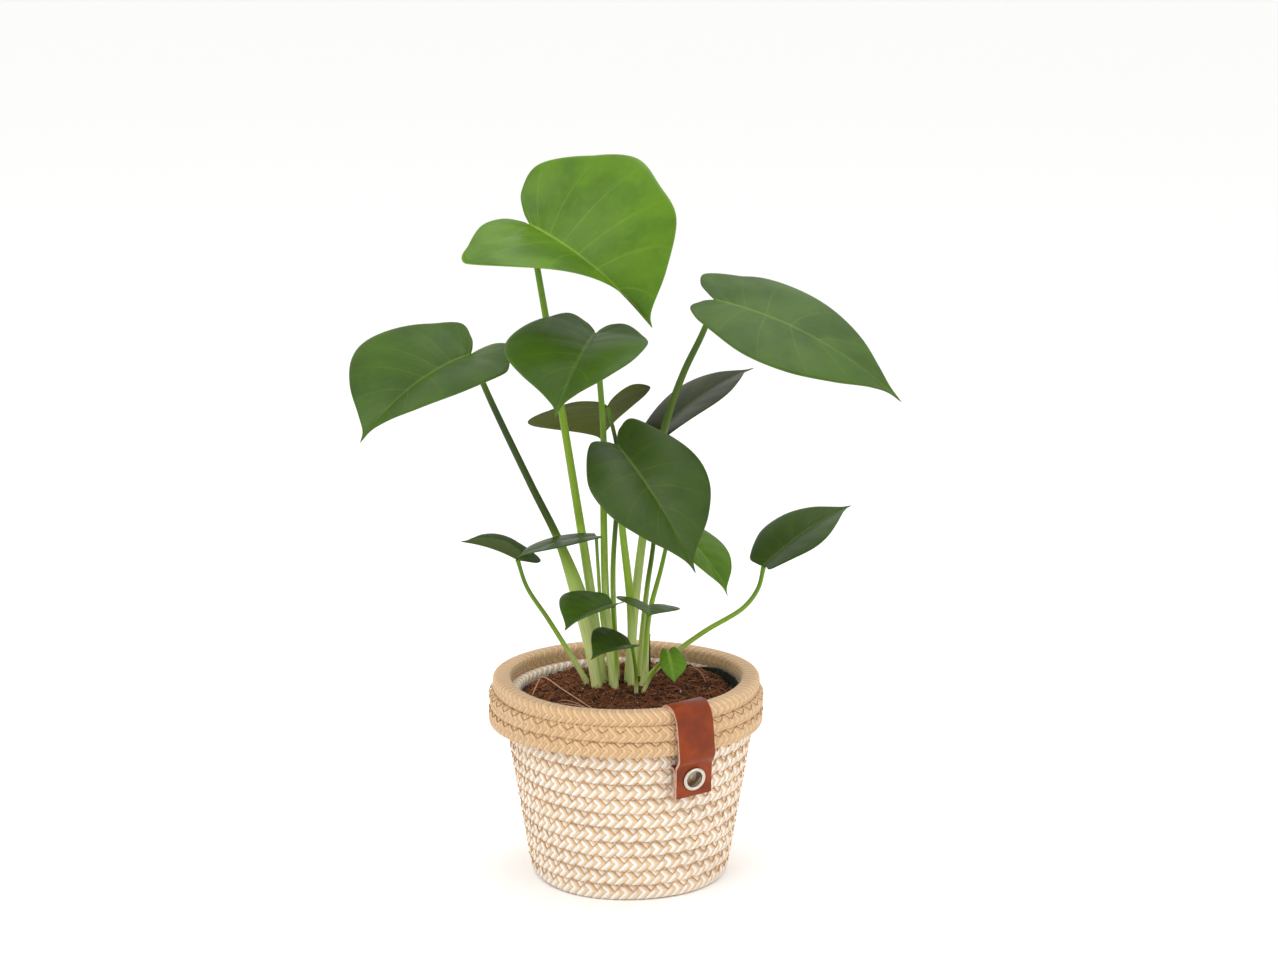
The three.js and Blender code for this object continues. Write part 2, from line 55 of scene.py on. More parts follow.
MM = 0.001
BODY = "root"
SEED = 7
UV_NAME = "weave"
MERGE_DISTANCE = 1e-7
FULL_TURN = 2 * math.pi
UPWARDS = (0, 0, 1)

log = logging.getLogger("plant")


# ---- numbers and curves -----------------------------------------------------------------
def linear(shown: Colour) -> tuple[float, ...]:
    """Turn a display colour into the linear one that a shader takes.

    Args:
        shown: Red, green and blue from 0 to 255.

    Returns:
        The colour as three linear values from 0 to 1.
    """
    parts = np.array(shown) / 255
    values = np.where(parts <= 0.04045, parts / 12.92, ((parts + 0.055) / 1.055) ** 2.4)
    return tuple(float(value) for value in values)


def unit(vectors: Array) -> Array:
    """Scale vectors on the last axis to length one."""
    return vectors / np.maximum(np.linalg.norm(vectors, axis=-1, keepdims=True), 1e-9)


def smooth_step(low: float, high: float, values: Array) -> Array:
    """Rise from 0 at low to 1 at high along 3q^2 - 2q^3."""
    q = np.clip((values - low) / (high - low), 0, 1)
    return q * q * (3 - 2 * q)


def spline(knots: Array, share: Array, spacing: float = 0.0) -> Array:
    """Follow a Catmull-Rom curve through knots.

    Each stretch is a cubic Hermite curve whose end slopes come from the neighbouring knots,
    weighted by their distance to the power `spacing`: 0 is the uniform curve and 0.5 the
    centripetal one.

    Args:
        knots: The points, one a row.
        share: Places along the curve from 0 to 1.
        spacing: The power that distances are weighted by.

    Returns:
        One point for each place.
    """
    around = np.vstack([2 * knots[0] - knots[1], knots, 2 * knots[-1] - knots[-2]])
    stretches = len(knots) - 1
    index = np.clip(np.floor(share * stretches).astype(int), 0, stretches - 1)
    t = (share * stretches - index)[..., None]
    before, start, end, after = (around[index + k] for k in range(4))

    def span(a: Array, b: Array) -> Array:
        """Distance between two points to the power that sets the spacing."""
        return np.maximum(np.linalg.norm(b - a, axis=-1, keepdims=True), 1e-6) ** spacing

    first, middle, last = span(before, start), span(start, end), span(end, after)
    leave = (start - before) / first - (end - before) / (first + middle) + (end - start) / middle
    arrive = (end - start) / middle - (after - start) / (middle + last) + (after - end) / last
    leave, arrive = leave * middle, arrive * middle
    blend = 3 * t**2 - 2 * t**3
    return start * (1 - blend) + end * blend + leave * (t**3 - 2 * t**2 + t) + arrive * (t**3 - t**2)


class ValueNoise:
    """Smooth random lumps on a plane: a lattice of random heights, blended by smooth steps."""

    def __init__(self, seed: int, size: int = 64) -> None:
        """Draw the lattice.

        Args:
            seed: Seed of the random heights.
            size: Number of lattice points along each side, after which the lumps repeat.
        """
        self.size = size
        self.heights = np.random.default_rng(seed).random((size, size)) * 2 - 1

    def at(self, x: Array, y: Array, cell: float) -> Array:
        """Read the lumps.

        Args:
            x: First coordinates.
            y: Second coordinates.
            cell: Width of one lump.

        Returns:
            Heights from -1 to 1, one for each place.
        """
        u, v = x / cell, y / cell
        column, row = np.floor(u).astype(int), np.floor(v).astype(int)
        a, b = smooth_step(0, 1, u - column), smooth_step(0, 1, v - row)
        corners = [
            self.heights[(column + i) % self.size, (row + j) % self.size] for j in (0, 1) for i in (0, 1)
        ]
        low = corners[0] * (1 - a) + corners[1] * a
        high = corners[2] * (1 - a) + corners[3] * a
        return low * (1 - b) + high * b


# ---- meshes -----------------------------------------------------------------------------
@dataclass
class Patch:
    """A closed grid surface, or many of them alike.

    Attributes:
        points: Places in millimetres, shaped (rows, columns, 3) or (copies, rows, columns, 3).
        uv: Two coordinates for each grid corner, one row or column longer where a side wraps.
        tones: Named numbers for each point, shaped like points without the last axis.
        wrap_rows: Whether the last row joins the first.
        wrap_columns: Whether the last column joins the first.
    """

    points: Array
    uv: Array | None = None
    tones: dict[str, Array] = field(default_factory=dict)
    wrap_rows: bool = False
    wrap_columns: bool = False

    def faces(self) -> tuple[Array, Array]:
        """List every quad of every copy, turned so that its face points outwards.

        A patch whose signed volume, the sum of a.(b x c) over its triangles, is negative is
        inside out, and each of its quads is then run through backwards.

        Returns:
            Point indices, shaped (quads, 4), and the two coordinates of each quad's corners.
        """
        rows, columns = self.points.shape[-3:-1]
        row, column = np.meshgrid(
            np.arange(rows if self.wrap_rows else rows - 1),
            np.arange(columns if self.wrap_columns else columns - 1),
            indexing="ij",
        )
        row = np.stack([row, row, row + 1, row + 1], -1).reshape(-1, 4)
        column = np.stack([column, column + 1, column + 1, column], -1).reshape(-1, 4)
        index = (row % rows) * columns + column % columns
        flat = self.points.reshape(-1, rows * columns, 3)
        a, b, c, d = (flat[0][index[:, k]] for k in range(4))
        if np.sum(a * np.cross(b, c)) + np.sum(a * np.cross(c, d)) < 0:
            index, row, column = index[:, ::-1], row[:, ::-1], column[:, ::-1]
        uv = np.zeros((len(index), 4, 2)) if self.uv is None else self.uv[row, column]
        steps = rows * columns * np.arange(len(flat))
        quads = (index[None] + steps[:, None, None]).reshape(-1, 4)
        return quads, np.tile(uv, (len(flat), 1, 1)).reshape(-1, 2)


def make_piece(name: str, patches: list[Patch], finish: Material, slot: str, *replaced: str) -> None:
    """Join patches into one mesh, merge doubled points at poles, and hang it on the frame.

    Args:
        name: Name of the piece.
        patches: Its surfaces.
        finish: Its material.
        slot: Name of the record's material slot.
        *replaced: CAD nodes that the piece stands for.
    """
    places = [patch.points.reshape(-1, 3) for patch in patches]
    starts = np.cumsum([0, *(len(place) for place in places)])
    faces, uvs = zip(*(patch.faces() for patch in patches))
    points = np.vstack(places) * MM
    quads = np.vstack([quads + start for quads, start in zip(faces, starts)])
    mesh = bpy.data.meshes.new(name)
    mesh.vertices.add(len(points))
    mesh.vertices.foreach_set("co", points.astype(np.float32).ravel())
    mesh.loops.add(quads.size)
    mesh.loops.foreach_set("vertex_index", quads.astype(np.int32).ravel())
    mesh.polygons.add(len(quads))
    mesh.polygons.foreach_set("loop_start", np.arange(0, quads.size, 4, dtype=np.int32))
    mesh.update(calc_edges=True)
    layer = mesh.uv_layers.new(name=UV_NAME)
    layer.data.foreach_set("uv", np.vstack(uvs).astype(np.float32).ravel())
    for key in sorted(patches[0].tones):
        values = np.concatenate([patch.tones[key].reshape(-1) for patch in patches])
        mesh.attributes.new(key, "FLOAT", "POINT").data.foreach_set("value", values.astype(np.float32))
    work = bmesh.new()
    work.from_mesh(mesh)
    bmesh.ops.remove_doubles(work, verts=work.verts, dist=MERGE_DISTANCE)
    work.to_mesh(mesh)
    work.free()
    mesh.validate()
    mesh.shade_smooth()
    mesh.materials.append(finish)
    hang(name, mesh, slot, *replaced)


def hang(name: str, mesh: bpy.types.Mesh, slot: str, *replaced: str) -> bpy.types.Object:
    """Make an object of a mesh, hang it on the frame's one body and hide the CAD nodes it stands for.

    Args:
        name: Name of the piece.
        mesh: Its mesh, already in place.
        slot: Name of the record's material slot; not used.
        *replaced: CAD nodes that it stands for.

    Returns:
        The new object.
    """
    piece = bpy.data.objects.new(name, mesh)
    bpy.context.scene.collection.objects.link(piece)
    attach(piece, BODY)
    if replaced:
        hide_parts(*replaced)
    log.info("%s: %d faces", name, len(mesh.polygons))
    return piece


def tube(
    path: Array, radii: Array | float, sides: int, beside: Point = (0, -1, 0), tint: Array | None = None
) -> Patch:
    """Carry a circle along paths: point = path + r (a cos w + b sin w), closed by a point at each end.

    The direction a is `beside` with its share along the path taken away, and b is square to both.

    Args:
        path: Points of one path, or of many, with places on the last axis.
        radii: Radius of all, at each point, or for each point and side.
        sides: Number of sides.
        beside: Direction that the first side faces, not along the path.
        tint: A number for each of many paths, to colour them by.

    Returns:
        A patch two rows longer than the path.
    """
    along = unit(np.gradient(path, axis=-2))
    toward = np.array(beside, float)
    a = unit(toward - np.sum(along * toward, axis=-1, keepdims=True) * along)
    b = np.cross(along, a)
    w = FULL_TURN * np.arange(sides) / sides
    radii = np.asarray(radii, float)
    radii = radii[..., None] if radii.ndim == path.ndim - 1 else radii
    radii = np.broadcast_to(radii, (*path.shape[:-1], sides))
    ring = a[..., None, :] * np.cos(w)[:, None] + b[..., None, :] * np.sin(w)[:, None]
    body = path[..., None, :] + ring * radii[..., None]
    ends = [np.repeat(path[..., k : k + 1, None, :], sides, axis=-2) for k in (0, path.shape[-2] - 1)]
    points = np.concatenate([ends[0], body, ends[1]], axis=-3)
    tones = {} if tint is None else {"tint": np.broadcast_to(tint[:, None, None], points.shape[:-1])}
    return Patch(points, tones=tones, wrap_columns=True)


# ---- materials --------------------------------------------------------------------------
class Painter:
    """Builds one node material, with short calls for the nodes that the finishes share."""

    def __init__(self, name: str) -> None:
        """Start a material with an empty surface.

        Args:
            name: Name of the material.
        """
        self.material = bpy.data.materials.new(name)
        self.material.use_nodes = True
        self.tree = self.material.node_tree
        self.shader = self.tree.nodes["Principled BSDF"]

    def feed(self, socket: Socket, value: Socket | float | Colour) -> None:
        """Link a socket or set it to a fixed value.

        Args:
            socket: The input.
            value: What it takes. A tuple for a colour input is a display colour.
        """
        if isinstance(value, bpy.types.NodeSocket):
            self.tree.links.new(value, socket)
        elif isinstance(value, tuple) and socket.type == "RGBA":
            socket.default_value = (*linear(value), 1)
        else:
            socket.default_value = value

    def node(self, kind: str, *values: Socket | float | Colour | None, **settings: object) -> bpy.types.Node:
        """Add a node.

        Args:
            kind: Type of the node, without its ShaderNode prefix.
            *values: Its inputs in order, None to leave one alone.
            **settings: Properties of the node.

        Returns:
            The new node.
        """
        node = self.tree.nodes.new("ShaderNode" + kind)
        for key, setting in settings.items():
            setattr(node, key, setting)
        for socket, value in zip(node.inputs, values):
            if value is not None:
                self.feed(socket, value)
        return node

    def math(self, operation: str, *values: Socket | float) -> Socket:
        """Add a Math node and give its result."""
        return self.node("Math", *values, operation=operation).outputs[0]

    def times(self, a: Socket | float, b: Socket | float) -> Socket:
        """Multiply two values."""
        return self.math("MULTIPLY", a, b)

    def plus(self, a: Socket | float, b: Socket | float) -> Socket:
        """Add two values."""
        return self.math("ADD", a, b)

    def minus(self, a: Socket | float, b: Socket | float) -> Socket:
        """Take the second value from the first."""
        return self.math("SUBTRACT", a, b)

    def step(self, value: Socket, low: float, high: float) -> Socket:
        """Rise smoothly from 0 where value is low to 1 where it is high."""
        node = self.node("MapRange", value, low, high, interpolation_type="SMOOTHSTEP")
        return node.outputs[0]

    def mix(self, share: Socket | float, a: Socket | Colour, b: Socket | Colour, way: str = "MIX") -> Socket:
        """Mix two colours.

        Args:
            share: How much of the second.
            a: First colour.
            b: Second colour.
            way: Blend type.

        Returns:
            The mixed colour.
        """
        node = self.node("Mix", data_type="RGBA", blend_type=way)
        for socket, value in zip((node.inputs[0], node.inputs[6], node.inputs[7]), (share, a, b)):
            self.feed(socket, value)
        return node.outputs[2]

    def tone(self, name: str) -> Socket:
        """Read a named number of the mesh."""
        return self.node("Attribute", attribute_name=name).outputs["Fac"]

    def uv(self) -> tuple[Socket, Socket]:
        """Read the piece's own two coordinates."""
        parts = self.node("SeparateXYZ", self.node("UVMap", uv_map=UV_NAME).outputs[0])
        return parts.outputs[0], parts.outputs[1]

    def place(self, stretch: Point = (1, 1, 1)) -> Socket:
        """Read object coordinates, stretched along each axis."""
        source = self.node("TexCoord").outputs["Object"]
        return self.node("VectorMath", source, stretch, operation="MULTIPLY").outputs[0]

    def plane(self, u: Socket, v: Socket) -> Socket:
        """Join two numbers into a vector."""
        return self.node("CombineXYZ", u, v, 0.0).outputs[0]

    def noise(self, vector: Socket, scale: float, detail: float = 3.0) -> Socket:
        """Read cloudy noise from 0 to 1."""
        return self.node("TexNoise", vector, None, scale, detail).outputs[0]

    def relief(self, height: Socket, depth: float) -> None:
        """Bump the surface.

        Args:
            height: Height from 0 to 1.
            depth: Depth in millimetres of a full step.
        """
        bump = self.node("Bump")
        self.feed(bump.inputs["Strength"], 1.0)
        self.feed(bump.inputs["Distance"], depth * MM)
        self.feed(bump.inputs["Height"], height)
        self.feed(self.shader.inputs["Normal"], bump.outputs[0])

    def surface(self, base: Socket | Colour, rough: Socket | float, **fixed: float) -> Material:
        """Set the colour, the roughness and fixed values, and give the material.

        Args:
            base: Base colour.
            rough: Roughness.
            **fixed: Fixed shader values, with underscores for spaces in their names.

        Returns:
            The finished material.
        """
        self.feed(self.shader.inputs["Base Color"], base)
        self.feed(self.shader.inputs["Roughness"], rough)
        for key, value in fixed.items():
            self.shader.inputs[key.replace("_", " ")].default_value = value
        return self.material


@dataclass(frozen=True)
class BraidFinish:
    """Braided rope: strands in two colours side by side, fine fibres and flecks, and painted shade in
    creases and seams.

    The first coordinate counts strands along the row and the second goes from -1 to 1 across it.
    """

    name: str
    light: Colour
    warm: Colour
    # third colour: painted shade in the creases and seams, and also the colour of fibres and flecks
    shade_and_fleck: Colour
    # how strong the painted shade in the creases between strands is
    crease_shade: float
    speckle: float

    @cache
    def material(self) -> Material:
        """Build the material, the first time that it is asked for.

        Returns:
            The material.
        """
        p = Painter(self.name)
        count, across = p.uv()
        turn = p.math("FRACT", p.times(count, 0.5))
        other = p.times(p.step(turn, 0.57, 0.62), p.minus(1.0, p.step(turn, 0.97, 1.0)))
        local = p.math("ABSOLUTE", p.minus(p.math("FRACT", count), 0.5))
        fibre = p.noise(p.plane(p.times(count, 7.0), p.times(across, 1.6)), 1.0, 2.0)
        cloud = p.noise(p.place(), 60.0)
        fleck = p.noise(p.place(), 900.0, 2.0)
        base = p.mix(other, self.light, self.warm)
        base = p.mix(p.times(p.tone("tint"), 0.25), base, self.warm)
        base = p.mix(p.times(p.step(fibre, 0.5, 0.8), 0.2), base, self.shade_and_fleck)
        base = p.mix(p.times(p.step(cloud, 0.45, 0.75), 0.18), base, self.warm)
        base = p.mix(p.times(p.step(fleck, 0.62, 0.75), self.speckle), base, self.shade_and_fleck)
        # painted shade: the creases between strands darken towards the third colour
        crease_shade_share = p.times(p.step(local, 0.36, 0.5), self.crease_shade)
        base = p.mix(crease_shade_share, base, self.shade_and_fleck)
        # painted shade: the seams between rows darken a little as well
        seam = p.times(p.step(p.math("ABSOLUTE", across), 0.86, 1.0), 0.12)
        base = p.mix(seam, base, self.shade_and_fleck)
        rounded = p.minus(1.0, p.times(local, p.times(local, 4.0)))
        p.relief(p.plus(rounded, p.times(fibre, 0.35)), 0.35)
        return p.surface(base, 0.88, Sheen_Weight=0.25, Sheen_Roughness=0.5, Specular_IOR_Level=0.25)


@dataclass(frozen=True)
class LeafFinish:
    """A waxy leaf: pale midrib and side veins, a thin pale margin, and a duller underside.

    The first coordinate runs round the margin from notch to tip and the second out from the midrib.
    """

    name: str
    top: Colour
    # colour of the cloudy patches, and of the painted shade between the side veins
    patch: Colour
    under: Colour
    vein: Colour
    roughness: float = 0.4
    side_veins: float = 9.0
    vein_bend: float = 0.035
    vein_edges: tuple[float, float] = (0.012, 0.05)
    rib_edges: tuple[float, float] = (0.35, 1.3)
    margin: float = 0.975
    cloud_scale: float = 38.0

    @cache
    def material(self) -> Material:
        """Build the material, the first time that it is asked for.

        Returns:
            The material.
        """
        p = Painter(self.name)
        round_share, out = p.uv()
        bend = p.times(p.times(out, out), self.vein_bend)
        run = p.times(p.minus(round_share, bend), self.side_veins)
        off = p.math("ABSOLUTE", p.minus(p.math("FRACT", run), 0.5))
        near = p.minus(1.0, p.step(off, *self.vein_edges))
        fading = p.minus(0.2, p.times(out, 0.17))
        cloud = p.noise(p.place(), self.cloud_scale)
        fine = p.noise(p.plane(p.times(round_share, 70.0), p.times(out, 9.0)), 1.0)
        top = p.mix(p.step(cloud, 0.35, 0.7), self.top, self.patch)
        # painted shade: darker midway between the side veins, for a pillowed look
        top = p.mix(p.times(p.step(off, 0.1, 0.5), 0.22), top, self.patch)
        top = p.mix(p.times(p.step(fine, 0.45, 0.8), 0.08), top, self.vein)
        top = p.mix(p.times(near, fading), top, self.vein)
        under = p.mix(p.times(near, 0.15), self.under, self.vein)
        under = p.mix(p.times(p.step(cloud, 0.4, 0.7), 0.2), under, self.top)
        base = p.mix(p.tone("under"), top, under)
        rib = p.minus(1.0, p.step(p.tone("rib"), *self.rib_edges))
        tapering = p.minus(0.72, p.times(round_share, 0.6))
        base = p.mix(p.times(rib, tapering), base, self.vein)
        base = p.mix(p.times(p.step(out, self.margin, 1.0), 0.4), base, self.vein)
        pillow = p.minus(0.5, off)
        height = p.plus(p.times(pillow, -1.2), p.times(fine, 0.3))
        p.relief(height, 0.3)
        rough = p.plus(p.times(cloud, 0.14), self.roughness - 0.07)
        rough = p.plus(rough, p.times(p.tone("under"), 0.45))
        return p.surface(base, rough, Specular_IOR_Level=0.2)


@dataclass(frozen=True)
class StalkFinish:
    """A juicy stalk, pale at its foot and greener upwards, with fine lines along it."""

    name: str
    foot: Colour
    middle: Colour
    top: Colour
    # colour of the painted shade over the stalk's middle
    dark: Colour = (24, 40, 8)

    @cache
    def material(self) -> Material:
        """Build the material, the first time that it is asked for.

        Returns:
            The material.
        """
        p = Painter(self.name)
        turn, length = p.uv()
        rise = p.tone("rise")
        lines = p.noise(p.plane(p.times(turn, 26.0), p.times(length, 0.03)), 1.0, 2.0)
        base = p.mix(p.step(rise, 0.05, 0.42), self.foot, self.middle)
        base = p.mix(p.step(rise, 0.35, 1.0), base, self.top)
        base = p.mix(p.times(p.step(lines, 0.42, 0.7), 0.35), base, self.top)
        # painted shade: a stretch up the stalk darkens by the leaf's shade
        stretch = p.minus(p.step(rise, 0.3, 0.52), p.step(rise, 0.76, 1.0))
        depth = p.plus(0.05, p.times(stretch, 0.9))
        base = p.mix(p.times(p.tone("shade"), depth), base, self.dark)
        p.relief(lines, 0.12)
        return p.surface(base, 0.42, Specular_IOR_Level=0.25)


@dataclass(frozen=True)
class GrainFinish:
    """A plain grained surface: two colours in clouds, a third in specks, and a bump."""

    name: str
    base: Colour
    cloud: Colour
    speck: Colour
    scale: float
    roughness: float
    depth: float = 0.2
    metallic: float = 0.0
    tinted: bool = False

    @cache
    def material(self) -> Material:
        """Build the material, the first time that it is asked for.

        Returns:
            The material.
        """
        p = Painter(self.name)
        broad = p.noise(p.place(), self.scale, 4.0)
        fine = p.noise(p.place(), self.scale * 7, 3.0)
        base = p.mix(p.step(broad, 0.35, 0.7), self.base, self.cloud)
        base = p.mix(p.times(p.step(fine, 0.58, 0.72), 0.6), base, self.speck)
        if self.tinted:
            base = p.mix(p.tone("tint"), base, self.speck)
        p.relief(p.plus(p.times(broad, 0.5), fine), self.depth)
        rough = p.plus(self.roughness - 0.05, p.times(fine, 0.1))
        return p.surface(base, rough, Metallic=self.metallic)


@dataclass(frozen=True)
class LeatherFinish:
    """Smooth dyed leather: a fine pebble grain, slow changes of dye and a soft polish."""

    name: str
    dye: Colour
    dark: Colour

    @cache
    def material(self) -> Material:
        """Build the material, the first time that it is asked for.

        Returns:
            The material.
        """
        p = Painter(self.name)
        cloud = p.noise(p.place(), 70.0)
        cells = p.node("TexVoronoi", p.place(), None, 1400.0).outputs[0]
        base = p.mix(p.step(cloud, 0.3, 0.75), self.dye, self.dark)
        p.relief(cells, 0.05)
        rough = p.plus(0.34, p.times(cloud, 0.12))
        return p.surface(base, rough, Specular_IOR_Level=0.2, Coat_Weight=0.05, Coat_Roughness=0.3)


class LeafTone(Enum):
    """The looks that a blade can have."""

    YOUNG = "young_leaf"
    MID = "leaf"
    DEEP = "dark_leaf"
    SHADE = "shade_leaf"

    def slot(self) -> str:
        """Name of the record's slot: a leaf in the shade shares the dark leaf's."""
        return LeafTone.DEEP.value if self is LeafTone.SHADE else self.value


# A braid's third colour is painted shade in creases and seams and the colour of fibres and flecks; the
# fourth number is the strength of that shade.
WOVEN = BraidFinish("white_and_tan_braid", (246, 242, 235), (222, 192, 154), (168, 124, 80), 0.4, 0.1)
TAN = BraidFinish("tan_braid", (222, 188, 146), (206, 168, 124), (116, 76, 38), 0.42, 0.55)
LEAF_LOOKS = {
    LeafTone.YOUNG: LeafFinish(
        "young_leaf_skin", (84, 120, 18), (66, 100, 16), (78, 104, 32), (136, 168, 62)
    ),
    LeafTone.MID: LeafFinish("leaf_skin", (62, 90, 20), (50, 76, 16), (70, 88, 34), (104, 130, 48)),
    LeafTone.DEEP: LeafFinish("deep_leaf_skin", (54, 76, 20), (44, 65, 16), (62, 78, 30), (90, 112, 42)),
    LeafTone.SHADE: LeafFinish("shade_leaf_skin", (46, 54, 16), (38, 46, 14), (78, 86, 24), (92, 100, 36)),
}
STALK = StalkFinish("stalk_skin", (216, 228, 152), (140, 172, 50), (92, 130, 22))
THREAD = GrainFinish("wall_thread_jute", (204, 160, 110), (188, 142, 92), (164, 118, 70), 300, 0.85)
RIM_THREAD = GrainFinish("rim_thread_jute", (160, 112, 62), (136, 90, 46), (110, 70, 34), 300, 0.85)
COMPOST = GrainFinish("compost_dark", (36, 20, 12), (52, 30, 17), (96, 56, 34), 160, 0.95, 0.9)
CRUMB = GrainFinish("compost_crumb", (40, 22, 11), (62, 34, 16), (112, 62, 30), 260, 0.95, 0.5, tinted=True)
COIR = GrainFinish("coir_fibre", (78, 40, 18), (116, 62, 30), (176, 108, 60), 200, 0.85, tinted=True)
PERLITE = GrainFinish("white_grain", (236, 232, 224), (222, 216, 206), (200, 194, 184), 500, 0.9)
DRY_STRAW = GrainFinish("dry_straw", (196, 150, 116), (176, 128, 96), (150, 106, 78), 150, 0.75)
BARK = GrainFinish("old_stem_bark", (36, 24, 18), (54, 36, 26), (78, 54, 38), 220, 0.92, 0.6)
FILM = GrainFinish("liner_film", (44, 52, 38), (36, 44, 32), (66, 74, 56), 90, 0.35)
POT_PLASTIC = GrainFinish("pot_plastic", (40, 41, 41), (34, 35, 35), (52, 53, 53), 200, 0.5, 0.1)
LEATHER = LeatherFinish("saddle_leather", (140, 56, 14), (108, 40, 8))
CUT_EDGE = GrainFinish("leather_cut_edge", (208, 168, 148), (184, 140, 116), (150, 108, 88), 400, 0.8)
NICKEL = GrainFinish(
    "nickel_plate", (206, 198, 184), (192, 184, 170), (176, 168, 154), 120, 0.24, 0.02, 1.0
)


# ---- basket -----------------------------------------------------------------------------
@dataclass
class RopeRow:
    """One row of braided rope: a rounded section carried round the basket, with chevron strands.

    Attributes:
        radius: Radius of the section's centre.
        height: Height of the section's centre.
        half_out: Half thickness towards and away from the axis.
        half_up: Half height.
        relief: Height of a strand.
        sink: How much lower the row lies at the sides than at the front and back.
        phase: Where the row's own unevenness starts.
    """

    radius: float
    height: float
    half_out: float
    half_up: float
    relief: float
    sink: float = 0.0
    phase: float = 0.0


@dataclass
class Basket:
    """The coiled rope basket: bottom, wall rows, folded rim, threads, and the film inside it.

    `sway` and `roll` say how far every row strays from round and from level, `own_sway` and
    `own_roll` how far each does by itself. A stitch reaches so far above and below its seam.
    """

    rope: float = 8.75
    wall_rows: int = 12
    wall_foot: float = 0.75
    wall_thickness: float = 7.2
    foot_radius: float = 54.7
    lean: float = 0.165
    rim_shift: float = -2.0
    strand: float = 2.32
    chevron: float = 4.0
    strand_steps: int = 5
    section_steps: int = 18
    squareness: float = 0.58
    tuck: float = 2.0
    tuck_span: tuple[float, float] = (84, 98)
    stitch: float = 9.3
    overlap: float = 0.28
    wall_relief: float = 0.5
    thread: float = 0.36
    thread_lift: float = 0.45
    rim_thread: float = 0.2
    thread_sides: int = 5
    steps_per_stitch: int = 10
    rows_per_piece: int = 4
    sway: float = 0.45
    roll: float = 0.3
    own_sway: float = 0.3
    own_roll: float = 0.2
    strand_power: float = 0.6
    wall_stitch: tuple[float, float] = (1.5, 3.7)
    rim_stitch: tuple[float, float] = (1.0, 2.2)
    stitch_limit: float = 0.88
    bottom_radius: float = 49.0
    bottom_thickness: float = 7.6
    bottom_edge: tuple[float, float] = (0.8, 2.0)
    groove: float = 1.1
    film_radius: float = 61.8
    film_foot: float = 98.0
    film_height: float = 10.0
    film_thickness: float = 0.3

    def wall_radius(self, z: float | Array) -> float | Array:
        """Outer radius of the wall at a height."""
        return self.foot_radius + self.lean * z

    def centre_radius(self, z: float | Array) -> float | Array:
        """Radius of the middle of the wall, which is pressed inwards under the folded rim."""
        pressed = self.tuck * smooth_step(*self.tuck_span, np.asarray(z, float))
        return self.wall_radius(z) - self.wall_thickness / 2 - pressed

    def uneven(self, turn: Array) -> tuple[Array, Array]:
        """How far every row strays outwards and upwards, as sines of 3 and of 2 to the turn."""
        return self.sway * np.sin(3 * turn + 0.7), self.roll * np.sin(2 * turn + 1.1)

    def row_patch(self, row: RopeRow, shift: float = 0.0) -> Patch:
        """Work out one row of rope.

        The section is a superellipse, x = a cos^p w and z = b sin^p w. Strands are counted by
        n turn + k |v|, v being the height across the row, so that each makes a chevron, and a
        strand stands out by |sin(pi count)|^strand_power, some more plumply than others.

        Args:
            row: Sizes of the row.
            shift: How far the row's centre lies along +X.

        Returns:
            A patch closed both ways.
        """
        strands = 2 * round(FULL_TURN * row.radius / (2 * self.strand))
        steps = strands * self.strand_steps
        share = np.arange(steps + 1)[:, None] / steps
        w = FULL_TURN * np.arange(self.section_steps + 1)[None] / self.section_steps
        turn = FULL_TURN * share
        out = np.sign(np.cos(w)) * np.abs(np.cos(w)) ** self.squareness
        v = np.sign(np.sin(w)) * np.abs(np.sin(w)) ** self.squareness
        count = strands * share + self.chevron / self.strand * np.abs(v)
        rng = np.random.default_rng(SEED + int(100 * row.height))
        strand_index = np.floor(count).astype(int) % (strands + 8)
        tint = rng.random(strands + 8)[strand_index]
        plump = row.relief * (0.75 + 0.5 * rng.random(strands + 8)[strand_index])
        stand = plump * (np.abs(np.sin(math.pi * count)) ** self.strand_power - 0.5) * (1 - 0.5 * v**4)
        sway, roll = self.uneven(turn)
        wobble = sway + self.own_sway * np.sin(5 * turn + row.phase)
        radius = row.radius + wobble + (row.half_out + stand) * out
        drop = row.sink * np.cos(turn) ** 2
        lift = roll + self.own_roll * np.sin(4 * turn + row.phase)
        height = row.height - drop + lift + (row.half_up + 0.25 * drop + 0.5 * stand) * v
        full = np.stack([radius * np.cos(turn) + shift, radius * np.sin(turn), height], -1)
        uv = np.stack([count, np.broadcast_to(v, count.shape)], -1)
        return Patch(full[:-1, :-1], uv, {"tint": tint[:-1, :-1]}, True, True)

    def wall_row(self, index: int) -> RopeRow:
        """Work out one row of the wall.

        Args:
            index: Number of the row, counted up from 0 at the floor.

        Returns:
            Its sizes.
        """
        height = self.wall_foot + (index + 0.5) * self.rope
        radius = float(self.centre_radius(height))
        half_up = self.rope / 2 + self.overlap
        return RopeRow(radius, height, self.wall_thickness / 2, half_up, self.wall_relief, phase=1.7 * index)

    def make_wall(self) -> None:
        """Make the wall, a few rows to a piece."""
        for first in range(0, self.wall_rows, self.rows_per_piece):
            rows = range(first, min(first + self.rows_per_piece, self.wall_rows))
            patches = [self.row_patch(self.wall_row(index)) for index in rows]
            name = f"wall_rows_{first + 1:02d}"
            make_piece(name, patches, WOVEN.material(), "woven_rope", "basket_wall")

